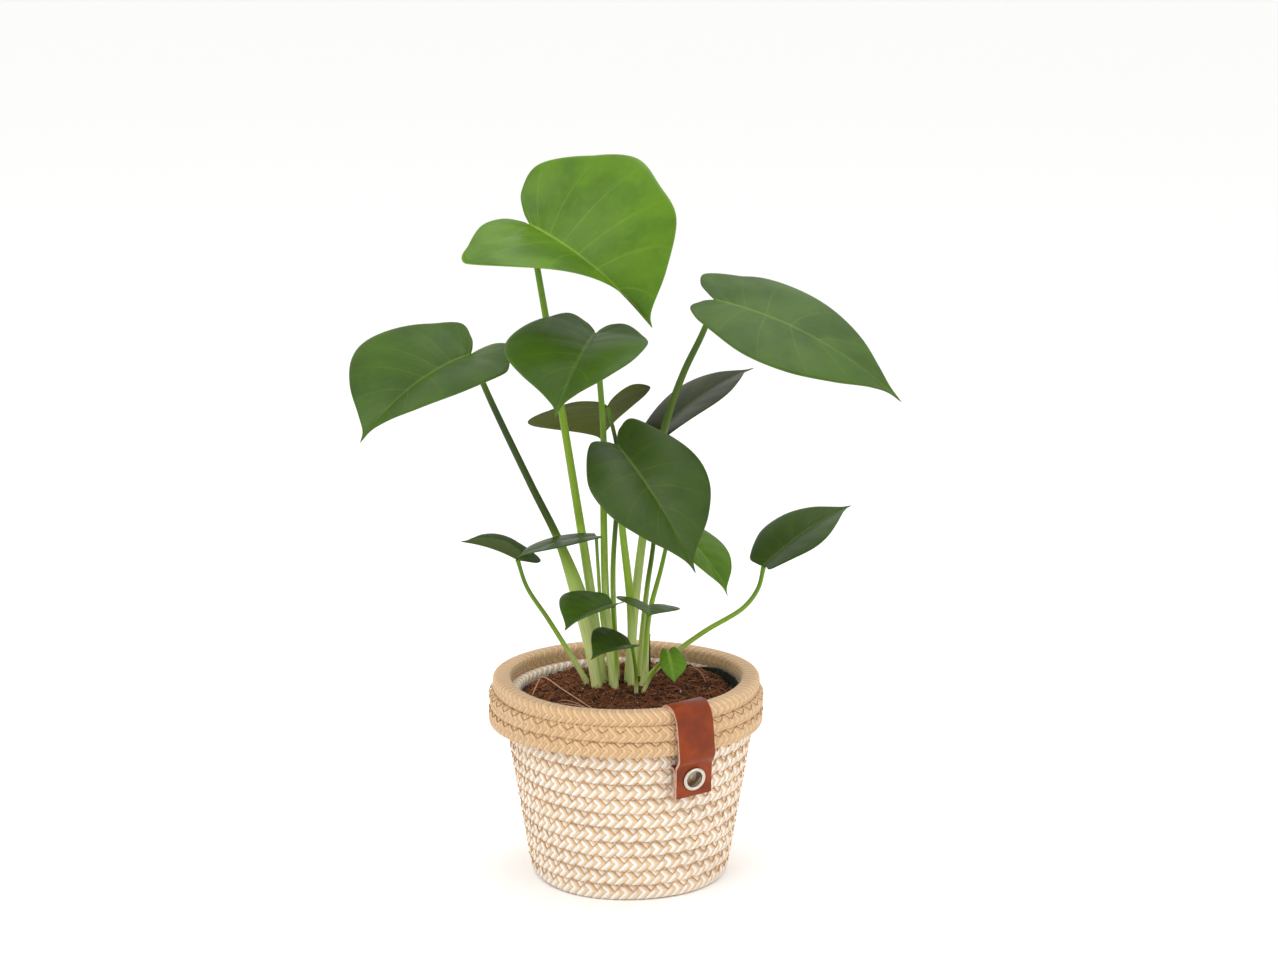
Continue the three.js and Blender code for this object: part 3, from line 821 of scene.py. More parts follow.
    def make_bottom(self) -> None:
        """Make the flat coil: a disc whose underside is cut by round grooves, one for each rope.

        The underside rises by groove (1 - |sin(pi r / rope)|)^2, so that each rope touches the
        floor. The edge stands out and up by bottom_edge, which rounds it.
        """
        edge, top, steps, strands = self.bottom_radius, self.bottom_thickness, 240, 120
        edge_out, edge_up = self.bottom_edge
        radius = np.linspace(0, edge, 64)
        under = self.groove * (1 - np.abs(np.sin(math.pi * radius / self.rope))) ** 2
        under[-1] = edge_up
        radii = np.concatenate([radius, [edge + edge_out, edge, 0.0]])
        heights = np.concatenate([under, [top / 2, top, top]])
        turn = FULL_TURN * np.arange(steps + 1)[:, None] / steps
        points = np.stack(np.broadcast_arrays(radii * np.cos(turn), radii * np.sin(turn), heights), -1)
        across = 2 * ((radii / self.rope) % 1) - 1
        uv = np.stack(np.broadcast_arrays(strands * turn / FULL_TURN, across), -1)
        tint = np.full((steps, len(radii)), 0.4)
        patch = Patch(points[:-1], uv, {"tint": tint}, wrap_rows=True)
        make_piece("coiled_bottom", [patch], WOVEN.material(), "woven_rope", "basket_base")

    def rim_rows(self) -> list[RopeRow]:
        """List the folded rim's rows.

        Returns:
            Their sizes, from the lip downwards.
        """
        return [
            RopeRow(69.8, 109.8, 5.0, 4.6, 0.55, 0.0, 0.4),
            RopeRow(73.0, 101.9, 3.7, 4.5, 0.6, 0.6, 2.1),
            RopeRow(72.9, 93.7, 3.8, 4.6, 0.65, 1.6, 3.9),
        ]

    def make_rim(self) -> None:
        """Make the folded rim."""
        patches = [self.row_patch(row, self.rim_shift) for row in self.rim_rows()]
        make_piece("folded_rim", patches, TAN.material(), "tan_rope", "rim_cuff")

    def seam_path(
        self, seam: float, reach: tuple[float, float], lower: RopeRow, upper: RopeRow, shift: float
    ) -> Array:
        """Follow a zig-zag thread round a seam.

        The height swings between seam + up and seam - down as a triangle wave. The radius is that
        of the row's surface there, a (1 - |v|^(2/p))^(p/2) out from its centre, v being held to
        the stitch's limit.

        Args:
            seam: Height of the seam.
            reach: How far the thread goes above it, and below.
            lower: The row below the seam.
            upper: The row above it.
            shift: How far the rows' centre lies along +X.

        Returns:
            Points of a closed path, the last like the first.
        """
        stitches = round(FULL_TURN * lower.radius / self.stitch)
        up, down = reach
        steps = stitches * self.steps_per_stitch
        share = np.arange(steps + 1) / steps
        turn = FULL_TURN * share
        swing = np.abs(2 * ((share * stitches) % 1) - 1)
        z = seam - down + (up + down) * swing
        sink = 0.5 * (lower.sink + upper.sink) * np.cos(turn) ** 2
        above = z > seam
        centre = np.where(above, upper.height, lower.height)
        half = np.where(above, upper.half_up, lower.half_up)
        v = np.minimum(np.abs(z - centre) / half, self.stitch_limit)
        bulge = (1 - v ** (2 / self.squareness)) ** (self.squareness / 2)
        middle = np.where(above, upper.radius, lower.radius)
        row_radius = middle + np.where(above, upper.half_out, lower.half_out) * bulge
        sway, lift = self.uneven(turn)
        radius = row_radius + sway + self.thread_lift
        return np.stack([radius * np.cos(turn) + shift, radius * np.sin(turn), z - sink + lift], -1)

    def make_threads(self) -> None:
        """Make the sewing threads: one round each seam that shows, in the wall and in the rim."""
        patches = []
        for index in range(self.wall_rows - 2):
            lower, upper = self.wall_row(index), self.wall_row(index + 1)
            seam = self.wall_foot + (index + 1) * self.rope
            path = self.seam_path(seam, self.wall_stitch, lower, upper, 0.0)
            patches.append(tube(path, self.thread, self.thread_sides, UPWARDS))
        make_piece("wall_thread", patches, THREAD.material(), "woven_rope")
        patches = []
        rows = self.rim_rows()
        for upper, lower in zip(rows, rows[1:]):
            seam = (upper.height - upper.half_up + lower.height + lower.half_up) / 2
            path = self.seam_path(seam, self.rim_stitch, lower, upper, self.rim_shift)
            patches.append(tube(path, self.rim_thread, self.thread_sides, UPWARDS))
        make_piece("rim_thread", patches, RIM_THREAD.material(), "tan_rope")

    def make_liner_fold(self) -> None:
        """Make the crumpled edge of film that stands up between soil and rope at the right.

        The sheet runs from film_foot up by film_height, at film_radius and some crumple. Its top
        edge falls away to both ends by the cube of the share of the way there.
        """
        steps, rise = 80, 14
        bearing = np.radians(np.linspace(-12, 58, steps))[:, None]
        up = np.concatenate([np.linspace(0, 1, rise), np.linspace(1, 0, rise)])[None]
        face = np.repeat([self.film_thickness / 2, -self.film_thickness / 2], rise)[None]
        lumps = ValueNoise(SEED + 3)
        crumple = 0.7 * lumps.at(60 * bearing, 9 * up, 5.0) + 0.35 * lumps.at(60 * bearing, 9 * up, 2.0)
        fall = 1 - 0.75 * np.abs(np.linspace(-1, 1, steps))[:, None] ** 3
        radius = self.film_radius + crumple + face
        height = self.film_foot + self.film_height * up * fall
        points = np.stack([radius * np.cos(bearing), radius * np.sin(bearing), height], -1)
        make_piece("liner_edge", [Patch(points, wrap_columns=True)], FILM.material(), "liner_film")

    def dress_hidden(self) -> None:
        """Give the CAD meshes of the liner and the pot their materials."""
        for node, finish in (("basket_liner", FILM), ("nursery_pot", POT_PLASTIC)):
            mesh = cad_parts[node].data
            mesh.materials.clear()
            mesh.materials.append(finish.material())


# ---- soil -------------------------------------------------------------------------------
@dataclass
class Soil:
    """The compost: a heaped body, with crumbs, coir fibres, white specks and a few straws.

    A size given as a pair is the least one and how much chance adds to it.
    """

    radius: float = 61.0
    level: float = 104.3
    crumbs: int = 2600
    fibres: int = 2600
    specks: int = 60
    clear: float = 2.5
    mound: float = 3.6
    mound_place: tuple[float, float] = (-3, 0)
    mound_spread: float = 22.0
    heap: float = 3.8
    heap_place: tuple[float, float] = (30, 34)
    heap_spread: float = 15.0
    edge_fall: float = 3.0
    edge_start: float = 46.0
    crumb_size: tuple[float, float] = (0.5, 1.8)
    fibre_half: tuple[float, float] = (1.6, 5.0)
    fibre_lift: tuple[float, float] = (0.3, 2.6)
    fibre_radius: tuple[float, float] = (0.12, 0.16)
    speck_size: tuple[float, float] = (0.25, 0.45)
    stub_foot: Point = (10.5, 21, 104)
    stub_rise: Point = (0.4, -0.5, 28)
    stub_radius: float = 1.9
    stub_taper: float = 0.8
    lumps: ValueNoise = field(default_factory=lambda: ValueNoise(SEED))

    def surface(self, x: Array, y: Array) -> Array:
        """Height of the heaped surface.

        A level, plus a mound about the stalks and a heap at the back right, each a bell curve,
        less a fall at the edge, plus lumps of three sizes.

        Args:
            x: First coordinates.
            y: Second coordinates.

        Returns:
            Heights in millimetres.
        """
        away = np.hypot(x, y)

        def bell(height: float, place: tuple[float, float], spread: float) -> Array:
            """Height of a round bell curve about a place."""
            squares = (x - place[0]) ** 2 + (y - place[1]) ** 2
            return height * np.exp(-squares / (2 * spread**2))

        mound = bell(self.mound, self.mound_place, self.mound_spread)
        heap = bell(self.heap, self.heap_place, self.heap_spread)
        edge = -self.edge_fall * smooth_step(self.edge_start, self.radius, away)
        rough = 1.1 * self.lumps.at(x + 90, y + 90, 8.0) + 1.1 * self.lumps.at(x + 50, y + 170, 3.1)
        return self.level + mound + heap + edge + rough + 0.45 * self.lumps.at(x + 200, y + 120, 1.3)

    def scatter(self, rng: np.random.Generator, number: int) -> tuple[Array, Array]:
        """Spread places evenly over the surface, by radius R sqrt(q) and a random turn.

        Args:
            rng: Source of the random numbers.
            number: How many places.

        Returns:
            Their two coordinates.
        """
        away = (self.radius - self.clear) * np.sqrt(rng.random(number))
        turn = FULL_TURN * rng.random(number)
        return away * np.cos(turn), away * np.sin(turn)

    def make_body(self) -> None:
        """Make the compost's closed body: the heaped top, then down the pot's inside."""
        turn = FULL_TURN * np.arange(320)[:, None] / 320
        radius = np.linspace(0, self.radius, 130)[None]
        x, y = radius * np.cos(turn), radius * np.sin(turn)
        top = np.stack([x, y, self.surface(x, y)], -1)
        inside = np.array([[60.2, 97.9], [55.4, 97.9], [55.4, 91.3], [41.0, 10.2], [0.0, 10.2]])
        below, height = inside.T
        side = np.stack(np.broadcast_arrays(below * np.cos(turn), below * np.sin(turn), height), -1)
        patch = Patch(np.concatenate([top, side], axis=1), wrap_rows=True)
        make_piece("compost_body", [patch], COMPOST.material(), "compost", "soil")

    def make_crumbs(self) -> None:
        """Make loose crumbs: small spindles with uneven radii, half sunk in the surface."""
        rng = np.random.default_rng(SEED + 1)
        x, y = self.scatter(rng, self.crumbs)
        size = self.crumb_size[0] + self.crumb_size[1] * rng.random(self.crumbs) ** 3
        share = np.linspace(-0.8, 0.8, 3)
        heading = rng.normal(size=(self.crumbs, 3))
        heading = unit(heading * [1, 1, 0.5])
        centre = np.stack([x, y, self.surface(x, y) + 0.1], -1)
        path = centre[:, None] + heading[:, None] * share[None, :, None] * size[:, None, None]
        radii = size[:, None, None] * (0.45 + 0.4 * rng.random((self.crumbs, 3, 5)))
        patch = tube(path, radii, 5, (0.2, 0.1, 1.0), rng.random(self.crumbs) ** 2)
        make_piece("compost_crumbs", [patch], CRUMB.material(), "compost")

    def make_fibres(self) -> None:
        """Make coir fibres: thin tubes bent along an arc and lifted off the surface.

        A fibre is centre + h s + n c s^2, with h its heading, n square to it and c its bend.
        """
        rng = np.random.default_rng(SEED + 2)
        number = self.fibres
        x, y = self.scatter(rng, number)
        turn = FULL_TURN * rng.random(number)
        s = np.linspace(-1, 1, 6)
        half = self.fibre_half[0] + self.fibre_half[1] * rng.random(number) ** 2
        bend = half * rng.normal(0, 0.45, number)
        cos, sin = np.cos(turn)[:, None], np.sin(turn)[:, None]
        ahead, beside = half[:, None] * s, bend[:, None] * s**2
        px = x[:, None] + cos * ahead - sin * beside
        py = y[:, None] + sin * ahead + cos * beside
        away = np.hypot(px, py)
        inside = np.minimum(1, (self.radius - 1.5) / np.maximum(away, 1e-6))
        px, py = px * inside, py * inside
        lift = self.fibre_lift[0] + (self.fibre_lift[1] * rng.random(number) ** 3)[:, None] * (1 - s**2)
        path = np.stack([px, py, self.surface(px, py) + lift], -1)
        radius = self.fibre_radius[0] + self.fibre_radius[1] * rng.random(number) ** 2
        radii = np.broadcast_to(radius[:, None], (number, len(s)))
        patch = tube(path, radii, 3, (0.1, 0.2, 1.0), rng.random(number))
        make_piece("coir_fibres", [patch], COIR.material(), "compost")

    def make_specks(self) -> None:
        """Make white mineral specks: small round grains on the surface."""
        rng = np.random.default_rng(SEED + 5)
        x, y = self.scatter(rng, self.specks)
        size = self.speck_size[0] + self.speck_size[1] * rng.random(self.specks)
        share = np.linspace(-0.7, 0.7, 3)
        centre = np.stack([x, y, self.surface(x, y) + 0.4], -1)
        path = centre[:, None] + np.array([0, 0, 1.0]) * share[None, :, None] * size[:, None, None]
        radii = size[:, None, None] * (0.7 + 0.3 * rng.random((self.specks, 3, 6)))
        make_piece("white_specks", [tube(path, radii, 6, (1, 0, 0))], PERLITE.material(), "compost")

    def make_straws(self) -> None:
        """Make the long bent straws that lie over the compost, most of them at the left front."""
        routes: list[list[Point]] = [
            [(-54, -14, 106), (-51, -10, 112), (-49, -8, 115), (-36, -24, 112), (-19, -45, 107)],
            [(-38, -32, 107), (-28, -40, 108), (-18, -46, 107)],
            [(-40, -24, 106), (-32, -35, 109), (-22, -43, 107)],
            [(22, -42, 106), (10, -48, 108), (-2, -50, 106)],
            [(34, 30, 110), (40, 18, 111), (44, 8, 106)],
        ]
        patches = []
        for route, radius in zip(routes, (0.34, 0.26, 0.22, 0.2, 0.22)):
            path = spline(np.array(route, float), np.linspace(0, 1, 40), 0.5)
            patches.append(tube(path, radius, 6, UPWARDS))
        make_piece("straws", patches, DRY_STRAW.material(), "compost")

    def make_stub(self) -> None:
        """Make the old stem that stands in the compost: a leaning rod with a ragged skin."""
        share = np.linspace(0, 1, 30)
        path = np.array(self.stub_foot) + np.array(self.stub_rise) * share[:, None]
        w = FULL_TURN * np.arange(12) / 12
        ragged = 0.3 * self.lumps.at(6 * np.cos(w)[None] + 30, 14 * share[:, None] + 4 * np.sin(w), 2.0)
        radii = (self.stub_radius - self.stub_taper * share)[:, None] + ragged
        make_piece("old_stem", [tube(path, radii, len(w))], BARK.material(), "bark", "bark_stub")


# ---- leaves -----------------------------------------------------------------------------
@dataclass(frozen=True)
class Half:
    """One half of a blade: width, tilt above level, where it is widest, and how full it stays."""

    width: float
    tilt: float
    widest: float
    full: float = 0.0


@dataclass(frozen=True)
class Leaf:
    """One leaf, in the frame's own terms.

    Attributes:
        name: Name shared with the CAD nodes.
        tone: Look of the blade.
        joint: Where the stalk meets the blade.
        heading: The way the tip points, in degrees from +X seen from above.
        dip: Degrees that the tip points below level.
        length: Length of the midrib.
        left: The half on the left when looking to the tip.
        right: The other half.
        lobe: Length of each lobe in blade lengths.
        arch: Rise of the midrib in blade lengths.
        cup: Swell of each half in half widths.
        foot: Place of the stalk's foot on the soil.
        bends: Points that the stalk passes through.
        radius: Stalk radius at foot and top.
        furl: Degrees that each half turns up towards the tip.
        sheath: Extra radius of the stalk's sheath.
        shade: How strong the painted shade over the stalk's middle is.
        drip: How drawn out each half is towards the tip, from 0 to 1.
    """

    name: str
    tone: LeafTone
    joint: Point
    heading: float
    dip: float
    length: float
    left: Half
    right: Half
    lobe: tuple[float, float]
    arch: float
    cup: float
    foot: tuple[float, float]
    bends: tuple[Point, ...]
    radius: tuple[float, float]
    furl: tuple[float, float] = (0, 0)
    sheath: float = 0.0
    shade: float = 0.0
    drip: tuple[float, float] = (0.7, 0.7)


LEAVES = (
    Leaf(
        "crown", LeafTone.YOUNG, joint=(-54, 5, 368), heading=-25, dip=35, length=90,
        left=Half(63, 56, 0.22, 1), right=Half(62, -15, 0), lobe=(0.22, 0.15), arch=0.1, cup=0.05,
        foot=(-15, 6), bends=((-22, 5, 165), (-31, 5, 225), (-43, 8, 300)),
        radius=(3.4, 1.7), furl=(0, 42), drip=(0.15, 0.6),
    ),
    Leaf(
        "upper_left", LeafTone.MID, joint=(-87, 0, 297), heading=210, dip=32, length=80,
        left=Half(41, -6, 0.05), right=Half(45, 28, 0.42), lobe=(0.2, 0.12), arch=0.1, cup=0.06,
        foot=(-18, -2), bends=((-25, -4, 150), (-38, -3, 190), (-54, 0, 223), (-75, 2, 268)),
        radius=(3.4, 1.6), sheath=2.2, shade=0.9, drip=(0.8, 1),
    ),
    Leaf(
        "centre", LeafTone.MID, joint=(-18, -18, 312), heading=-110, dip=30, length=70,
        left=Half(31, -6, 0.05), right=Half(40, 16, 0.42), lobe=(0.14, 0.1), arch=0.1, cup=0.08,
        foot=(-9, 2), bends=((-13, 2, 160), (-14, -3, 210), (-14, -8, 255)),
        radius=(2.7, 1.6), shade=0.25, drip=(1, 1),
    ),
    Leaf(
        "upper_right", LeafTone.MID, joint=(48, 0, 327), heading=-20, dip=25, length=117,
        left=Half(39, 15, 0.12), right=Half(40, -21, 0.3), lobe=(0.14, 0.06), arch=0.08, cup=0.05,
        foot=(0, 7), bends=((3, 7, 150), (9, 7, 200), (20, 7, 255), (30, 6, 285), (40, 3, 307)),
        radius=(3.2, 1.6), shade=0.75, drip=(0.5, 0.8),
    ),
    Leaf(
        "front_right", LeafTone.DEEP, joint=(-6, -25, 251), heading=-50, dip=42, length=88,
        left=Half(32, 30, 0.33), right=Half(32, -12, 0.28), lobe=(0.12, 0.06), arch=0.08, cup=0.07,
        foot=(2, -3), bends=((1, -5, 155), (-4, -9, 205)),
        radius=(3.2, 1.6), drip=(1, 0.6),
    ),
    Leaf(
        "back_left", LeafTone.SHADE, joint=(-12, 20, 264), heading=95, dip=35, length=50,
        left=Half(43, -6, 0.3), right=Half(28, 25, 0.1), lobe=(0.15, 0.3), arch=0.06, cup=0.05,
        foot=(-7, 12), bends=((-9, 12, 170), (-6, 16, 235)),
        radius=(2, 1.1), shade=0.9,
    ),
    Leaf(
        "back_right", LeafTone.SHADE, joint=(14, 28, 244), heading=30, dip=-27, length=74,
        left=Half(22, 4, 0.4), right=Half(25, 8, 0.4), lobe=(0.06, 0.06), arch=0.06, cup=0.05,
        foot=(5, 14), bends=((10, 12, 160), (14, 16, 190)),
        radius=(2, 1.1), shade=0.6, drip=(1, 1),
    ),
    Leaf(
        "low_right", LeafTone.YOUNG, joint=(23, -5, 200), heading=-40, dip=38, length=52,
        left=Half(18, 6, 0.4), right=Half(13, 4, 0.35), lobe=(0.15, 0.15), arch=0.1, cup=0.06,
        foot=(9, 7), bends=((11, 6, 145), (18, 3, 175)),
        radius=(2, 1.1), drip=(1, 1),
    ),
    Leaf(
        "far_right", LeafTone.DEEP, joint=(75, 0, 177), heading=20, dip=-30, length=61,
        left=Half(23, 18, 0.25), right=Half(25, 0, 0.38), lobe=(0.04, 0), arch=0.05, cup=0.05,
        foot=(7, 1), bends=((21, 0, 123), (42, 0, 139), (64, 0, 153), (72, 0, 164)),
        radius=(1.8, 1.2), shade=0.15, drip=(0.6, 0.3),
    ),
    Leaf(
        "far_left", LeafTone.DEEP, joint=(-62, 0, 181), heading=190, dip=-20, length=34,
        left=Half(20, 27, 0.35), right=Half(14, 30, 0.1), lobe=(0, 0.4), arch=0.05, cup=0.03,
        foot=(-24, 5), bends=((-33, 0, 126), (-45, 0, 146), (-57, 0, 165)),
        radius=(1.8, 1.1), shade=0.3,
    ),
    Leaf(
        "mid_left", LeafTone.DEEP, joint=(-18, -16, 198), heading=200, dip=10, length=47,
        left=Half(17, 6, 0.4), right=Half(17, -6, 0.4), lobe=(0.02, 0.02), arch=0.05, cup=0.03,
        foot=(-8, -6), bends=((-15, -12, 150), (-17, -15, 180)),
        radius=(1.3, 0.9),
    ),
    Leaf(
        "front_left", LeafTone.MID, joint=(-9, -28, 161), heading=215, dip=15, length=33,
        left=Half(20, 20, 0.4), right=Half(23, 17, 0.4), lobe=(0.1, 0.1), arch=0.08, cup=0.06,
        foot=(-7, -10), bends=((-7, -16, 130),),
        radius=(1.3, 0.9),
    ),
    Leaf(
        "front_centre", LeafTone.MID, joint=(11, -10, 157), heading=-90, dip=0, length=24,
        left=Half(17, -3, 0.3), right=Half(19, 18, 0.3), lobe=(0.1, 0.1), arch=0.05, cup=0.04,
        foot=(7, -6), bends=((10, -9, 140),),
        radius=(1.3, 0.9),
    ),
    Leaf(
        "front_low", LeafTone.DEEP, joint=(2, -32, 139), heading=215, dip=5, length=28,
        left=Half(18, 15, 0.35), right=Half(18, 28, 0.35), lobe=(0, 0.02), arch=0.08, cup=0.06,
        foot=(4, -16), bends=((4, -22, 120),),
        radius=(1.3, 0.9), shade=0.3,
    ),
    Leaf(
        "rim_right", LeafTone.YOUNG, joint=(22, -20, 132), heading=-75, dip=50, length=18,
        left=Half(9, 0, 0.3), right=Half(6, -10, 0.3), lobe=(0.2, 0.2), arch=0.08, cup=0.06,
        foot=(8, -14), bends=((14, -17, 121),),
        radius=(1.3, 0.9), drip=(0.2, 0.2),
    ),
)


@dataclass
class LeafHalf:
    """One half of a blade: its widest place, its cross direction, its normal and its outline."""

    widest: float
    across: Array
    normal: Array
    furl: float
    outline: Array


@dataclass
class Foliage:
    """Every leaf: thin blades with ribs, and stalks that reach from the soil to the joint.

    `large` is the midrib length above which a blade gets the finer grid, rows round the margin by
    columns out from the midrib.
    """

    rib_thickness: float = 0.26
    edge_thickness: float = 0.11
    lobe_droop: float = 0.3
    sheath_end: float = 0.45
    taper: float = 0.7
    root: float = 103.5
    large: float = 62.0
    fine_grid: tuple[int, int] = (84, 22)
    coarse_grid: tuple[int, int] = (48, 14)
    rib_width: float = 0.9
    rib_sink: float = 0.3
    rib_stand: float = 0.45
    notch_close: float = 0.03
    wave: float = 0.011
    stalk_sides: int = 18
    stalk_steps: int = 70
    stalk_flatness: float = 0.07
    joint_swell: float = 0.18
    joint_reach: float = 4.0

    def outline(self, lobe: float, half: Half, drip: float) -> Array:
        """Knots of half a heart-shaped outline, as blade lengths along and half widths across.

        Args:
            lobe: Length of the lobe.
            half: The half, for where it is widest and how full it stays.
            drip: How drawn out the tip is, from 0 to 1.

        Returns:
            Points from the notch round the lobe to the tip.
        """
        widest = half.widest
        ahead = 1 - widest
        plain = np.array([[0.3, 0.92], [0.58, 0.63], [0.8, 0.28], [0.92, 0.09]])
        drawn = np.array([[0.32, 0.93], [0.6, 0.62], [0.79, 0.24], [0.89, 0.06]])
        end = plain * (1 - drip) + drawn * drip
        end[1:, 1] += half.full * np.array([0.17, 0.14, 0])
        lobes = [
            [0, 0],
            [-0.4 * lobe, 0.06],
            [-0.85 * lobe, 0.2],
            [-lobe, 0.48],
            [widest - 0.55 * (lobe + widest), 0.8],
            [widest, 1],
        ]
        return np.vstack([lobes, end * [ahead, 1] + [widest, 0], [[1, 0]]])

    def halves(self, leaf: Leaf) -> tuple[Array, Array, list[LeafHalf]]:
        """Work out a blade's own directions.

        The midrib points along (cos h cos d, sin h cos d, -sin d). A half's cross direction is
        width (+-cos tilt beside + sin tilt lift), beside being level and lift square to both. The
        blade's up is the mean of its halves' normals.

        Args:
            leaf: The leaf.

        Returns:
            Direction of the midrib, the blade's up direction and its two halves.
        """
        heading, dip = math.radians(leaf.heading), math.radians(leaf.dip)
        level = math.cos(dip)
        along = np.array([math.cos(heading) * level, math.sin(heading) * level, -math.sin(dip)])
        beside = np.array([-math.sin(heading), math.cos(heading), 0.0])
        lift = np.cross(along, beside)
        halves = []
        for half, side, lobe, furl, drip in zip(
            (leaf.left, leaf.right), (1, -1), leaf.lobe, leaf.furl, leaf.drip
        ):
            tilt = math.radians(half.tilt)
            across = half.width * (side * math.cos(tilt) * beside + math.sin(tilt) * lift)
            normal = side * np.cross(along, across) / half.width
            outline = self.outline(lobe, half, drip)
            halves.append(LeafHalf(half.widest, across, normal, math.radians(furl), outline))
        return along, unit(halves[0].normal + halves[1].normal), halves

    def sheet(self, leaf: Leaf, side: int, s: Array, t: Array) -> tuple[Array, Array, Array]:
        """Middle surface of half a blade.

        The place along is s^2 at the midrib and the outline's at the margin, t between them. To
        it are added the midrib's arch, the half's swell 4 y (1 - y) and a slow wave of the margin.

        Args:
            leaf: The leaf.
            side: 0 for the left half and 1 for the right.
            s: Share round the margin, as a column.
            t: Share from midrib to margin, as a row.

        Returns:
            Points, normals, and distances from the midrib in millimetres.
        """
        along, up, halves = self.halves(leaf)
        half, length = halves[side], leaf.length
        edge = spline(half.outline, s[:, 0])
        x = s**2 * (1 - t) + edge[:, :1] * t
        y = edge[:, 1:] * t
        width = float(np.linalg.norm(half.across))
        rise = leaf.arch * length * 4 * x * (1 - x) * np.where(x < 0, self.lobe_droop, 1)
        twist = half.furl * np.maximum(0, (x - half.widest) / (1 - half.widest))
        swell = leaf.cup * width * 4 * y * (1 - y)
        wave = self.wave * width * t**2 * np.sin(FULL_TURN * (2.3 * s + 0.31 * side)) * np.sin(math.pi * s)
        cross = half.across * np.cos(twist)[..., None] + half.normal * (width * np.sin(twist))[..., None]
        points = (
            np.array(leaf.joint, float)
            + along * (length * x)[..., None]
            + up * rise[..., None]
            + cross * y[..., None]
            + half.normal * (swell + wave)[..., None]
        )
        normals = unit(up * (1 - t)[..., None] + half.normal * t[..., None])
        normals = np.broadcast_to(normals, points.shape)
        return points, normals, np.abs(y) * width

    def make_blade(self, leaf: Leaf) -> None:
        """Make a blade: its upper face, a narrow edge and its lower face, closed at notch and tip.

        The faces stand off the middle surface by edge + rib sqrt(1 - t^2). The upper one sinks in
        along the midrib and the lower one stands out there, by a bell curve of the distance.

        Args:
            leaf: The leaf.
        """
        rows, columns = self.fine_grid if leaf.length > self.large else self.coarse_grid
        s = np.linspace(0, 1, rows)[:, None]
        t = np.linspace(0, 1, columns)[None]
        grid = np.stack(np.broadcast_arrays(s, t), -1)
        inwards, outwards = slice(None, None, -1), slice(1, None)
        faces, uv, away, under = [], [], [], []
        for lower, order in ((False, (1, 0)), (True, (0, 1))):
            for side, skip in zip(order, (inwards, outwards)):
                points, normals, distance = self.sheet(leaf, side, s, t)
                stand = self.edge_thickness + self.rib_thickness * np.sqrt(1 - t**2)
                stand = stand * np.minimum(1, np.minimum(s, 1 - s) / self.notch_close)
                bell = np.exp(-((distance / self.rib_width) ** 2)) * (1 - 0.7 * s)
                offset = -(stand + self.rib_stand * bell) if lower else stand - self.rib_sink * bell
                faces.append((points + normals * offset[..., None])[:, skip])
                uv.append(grid[:, skip])
                away.append(distance[:, skip])
                under.append(np.full(away[-1].shape, float(lower)))
        uv.append(uv[0][:, :1])
        tones = {"under": np.concatenate(under, 1), "rib": np.concatenate(away, 1)}
        patch = Patch(np.concatenate(faces, 1), np.concatenate(uv, 1), tones, wrap_columns=True)
        finish = LEAF_LOOKS[leaf.tone].material()
        make_piece(f"{leaf.name}_blade", [patch], finish, leaf.tone.slot(), f"blade_{leaf.name}")

    def make_stalk(self, leaf: Leaf) -> None:
        """Make a stalk: a tube from under the soil to the joint.

        Its radius goes from foot to top by s^taper, with a sheath of sin^2 over its lower part, a
        little swelling at the joint and a slightly flattened section.

        Args:
            leaf: The leaf.
        """
        up = self.halves(leaf)[1]
        top = np.array(leaf.joint, float) - 0.3 * up
        knots = np.array([(*leaf.foot, self.root + 5), *leaf.bends, top], float)
        s = np.linspace(0, 1, self.stalk_steps)
        path = np.vstack([[(*leaf.foot, self.root)], spline(knots, s, 0.5)])
        s = np.concatenate([[0], s])
        length = np.concatenate([[0], np.cumsum(np.linalg.norm(np.diff(path, axis=0), axis=1))])
        sheath = leaf.sheath * np.sin(math.pi * np.minimum(1, s / self.sheath_end)) ** 2
        radii = leaf.radius[0] + (leaf.radius[1] - leaf.radius[0]) * s**self.taper + sheath
        near_joint = np.exp(-(((length[-1] - length) / self.joint_reach) ** 2))
        radii = radii + self.joint_swell * leaf.radius[1] * near_joint
        sides = self.stalk_sides
        w = FULL_TURN * np.arange(sides) / sides
        flat = 1 + self.stalk_flatness * np.cos(2 * w)[None] * (1 - 0.6 * s)[:, None]
        patch = tube(path, radii[:, None] * flat, sides)
        rise = np.broadcast_to(np.concatenate([[0], s, [1]])[:, None], patch.points.shape[:2])
        patch.tones = {"rise": rise, "shade": np.full(rise.shape, leaf.shade)}
        run = np.concatenate([[0], length, [length[-1]]])
        patch.uv = np.stack(np.broadcast_arrays(np.arange(sides + 1)[None] / sides, run[:, None]), -1)
        make_piece(f"{leaf.name}_stalk", [patch], STALK.material(), "stalk", f"stalk_{leaf.name}")


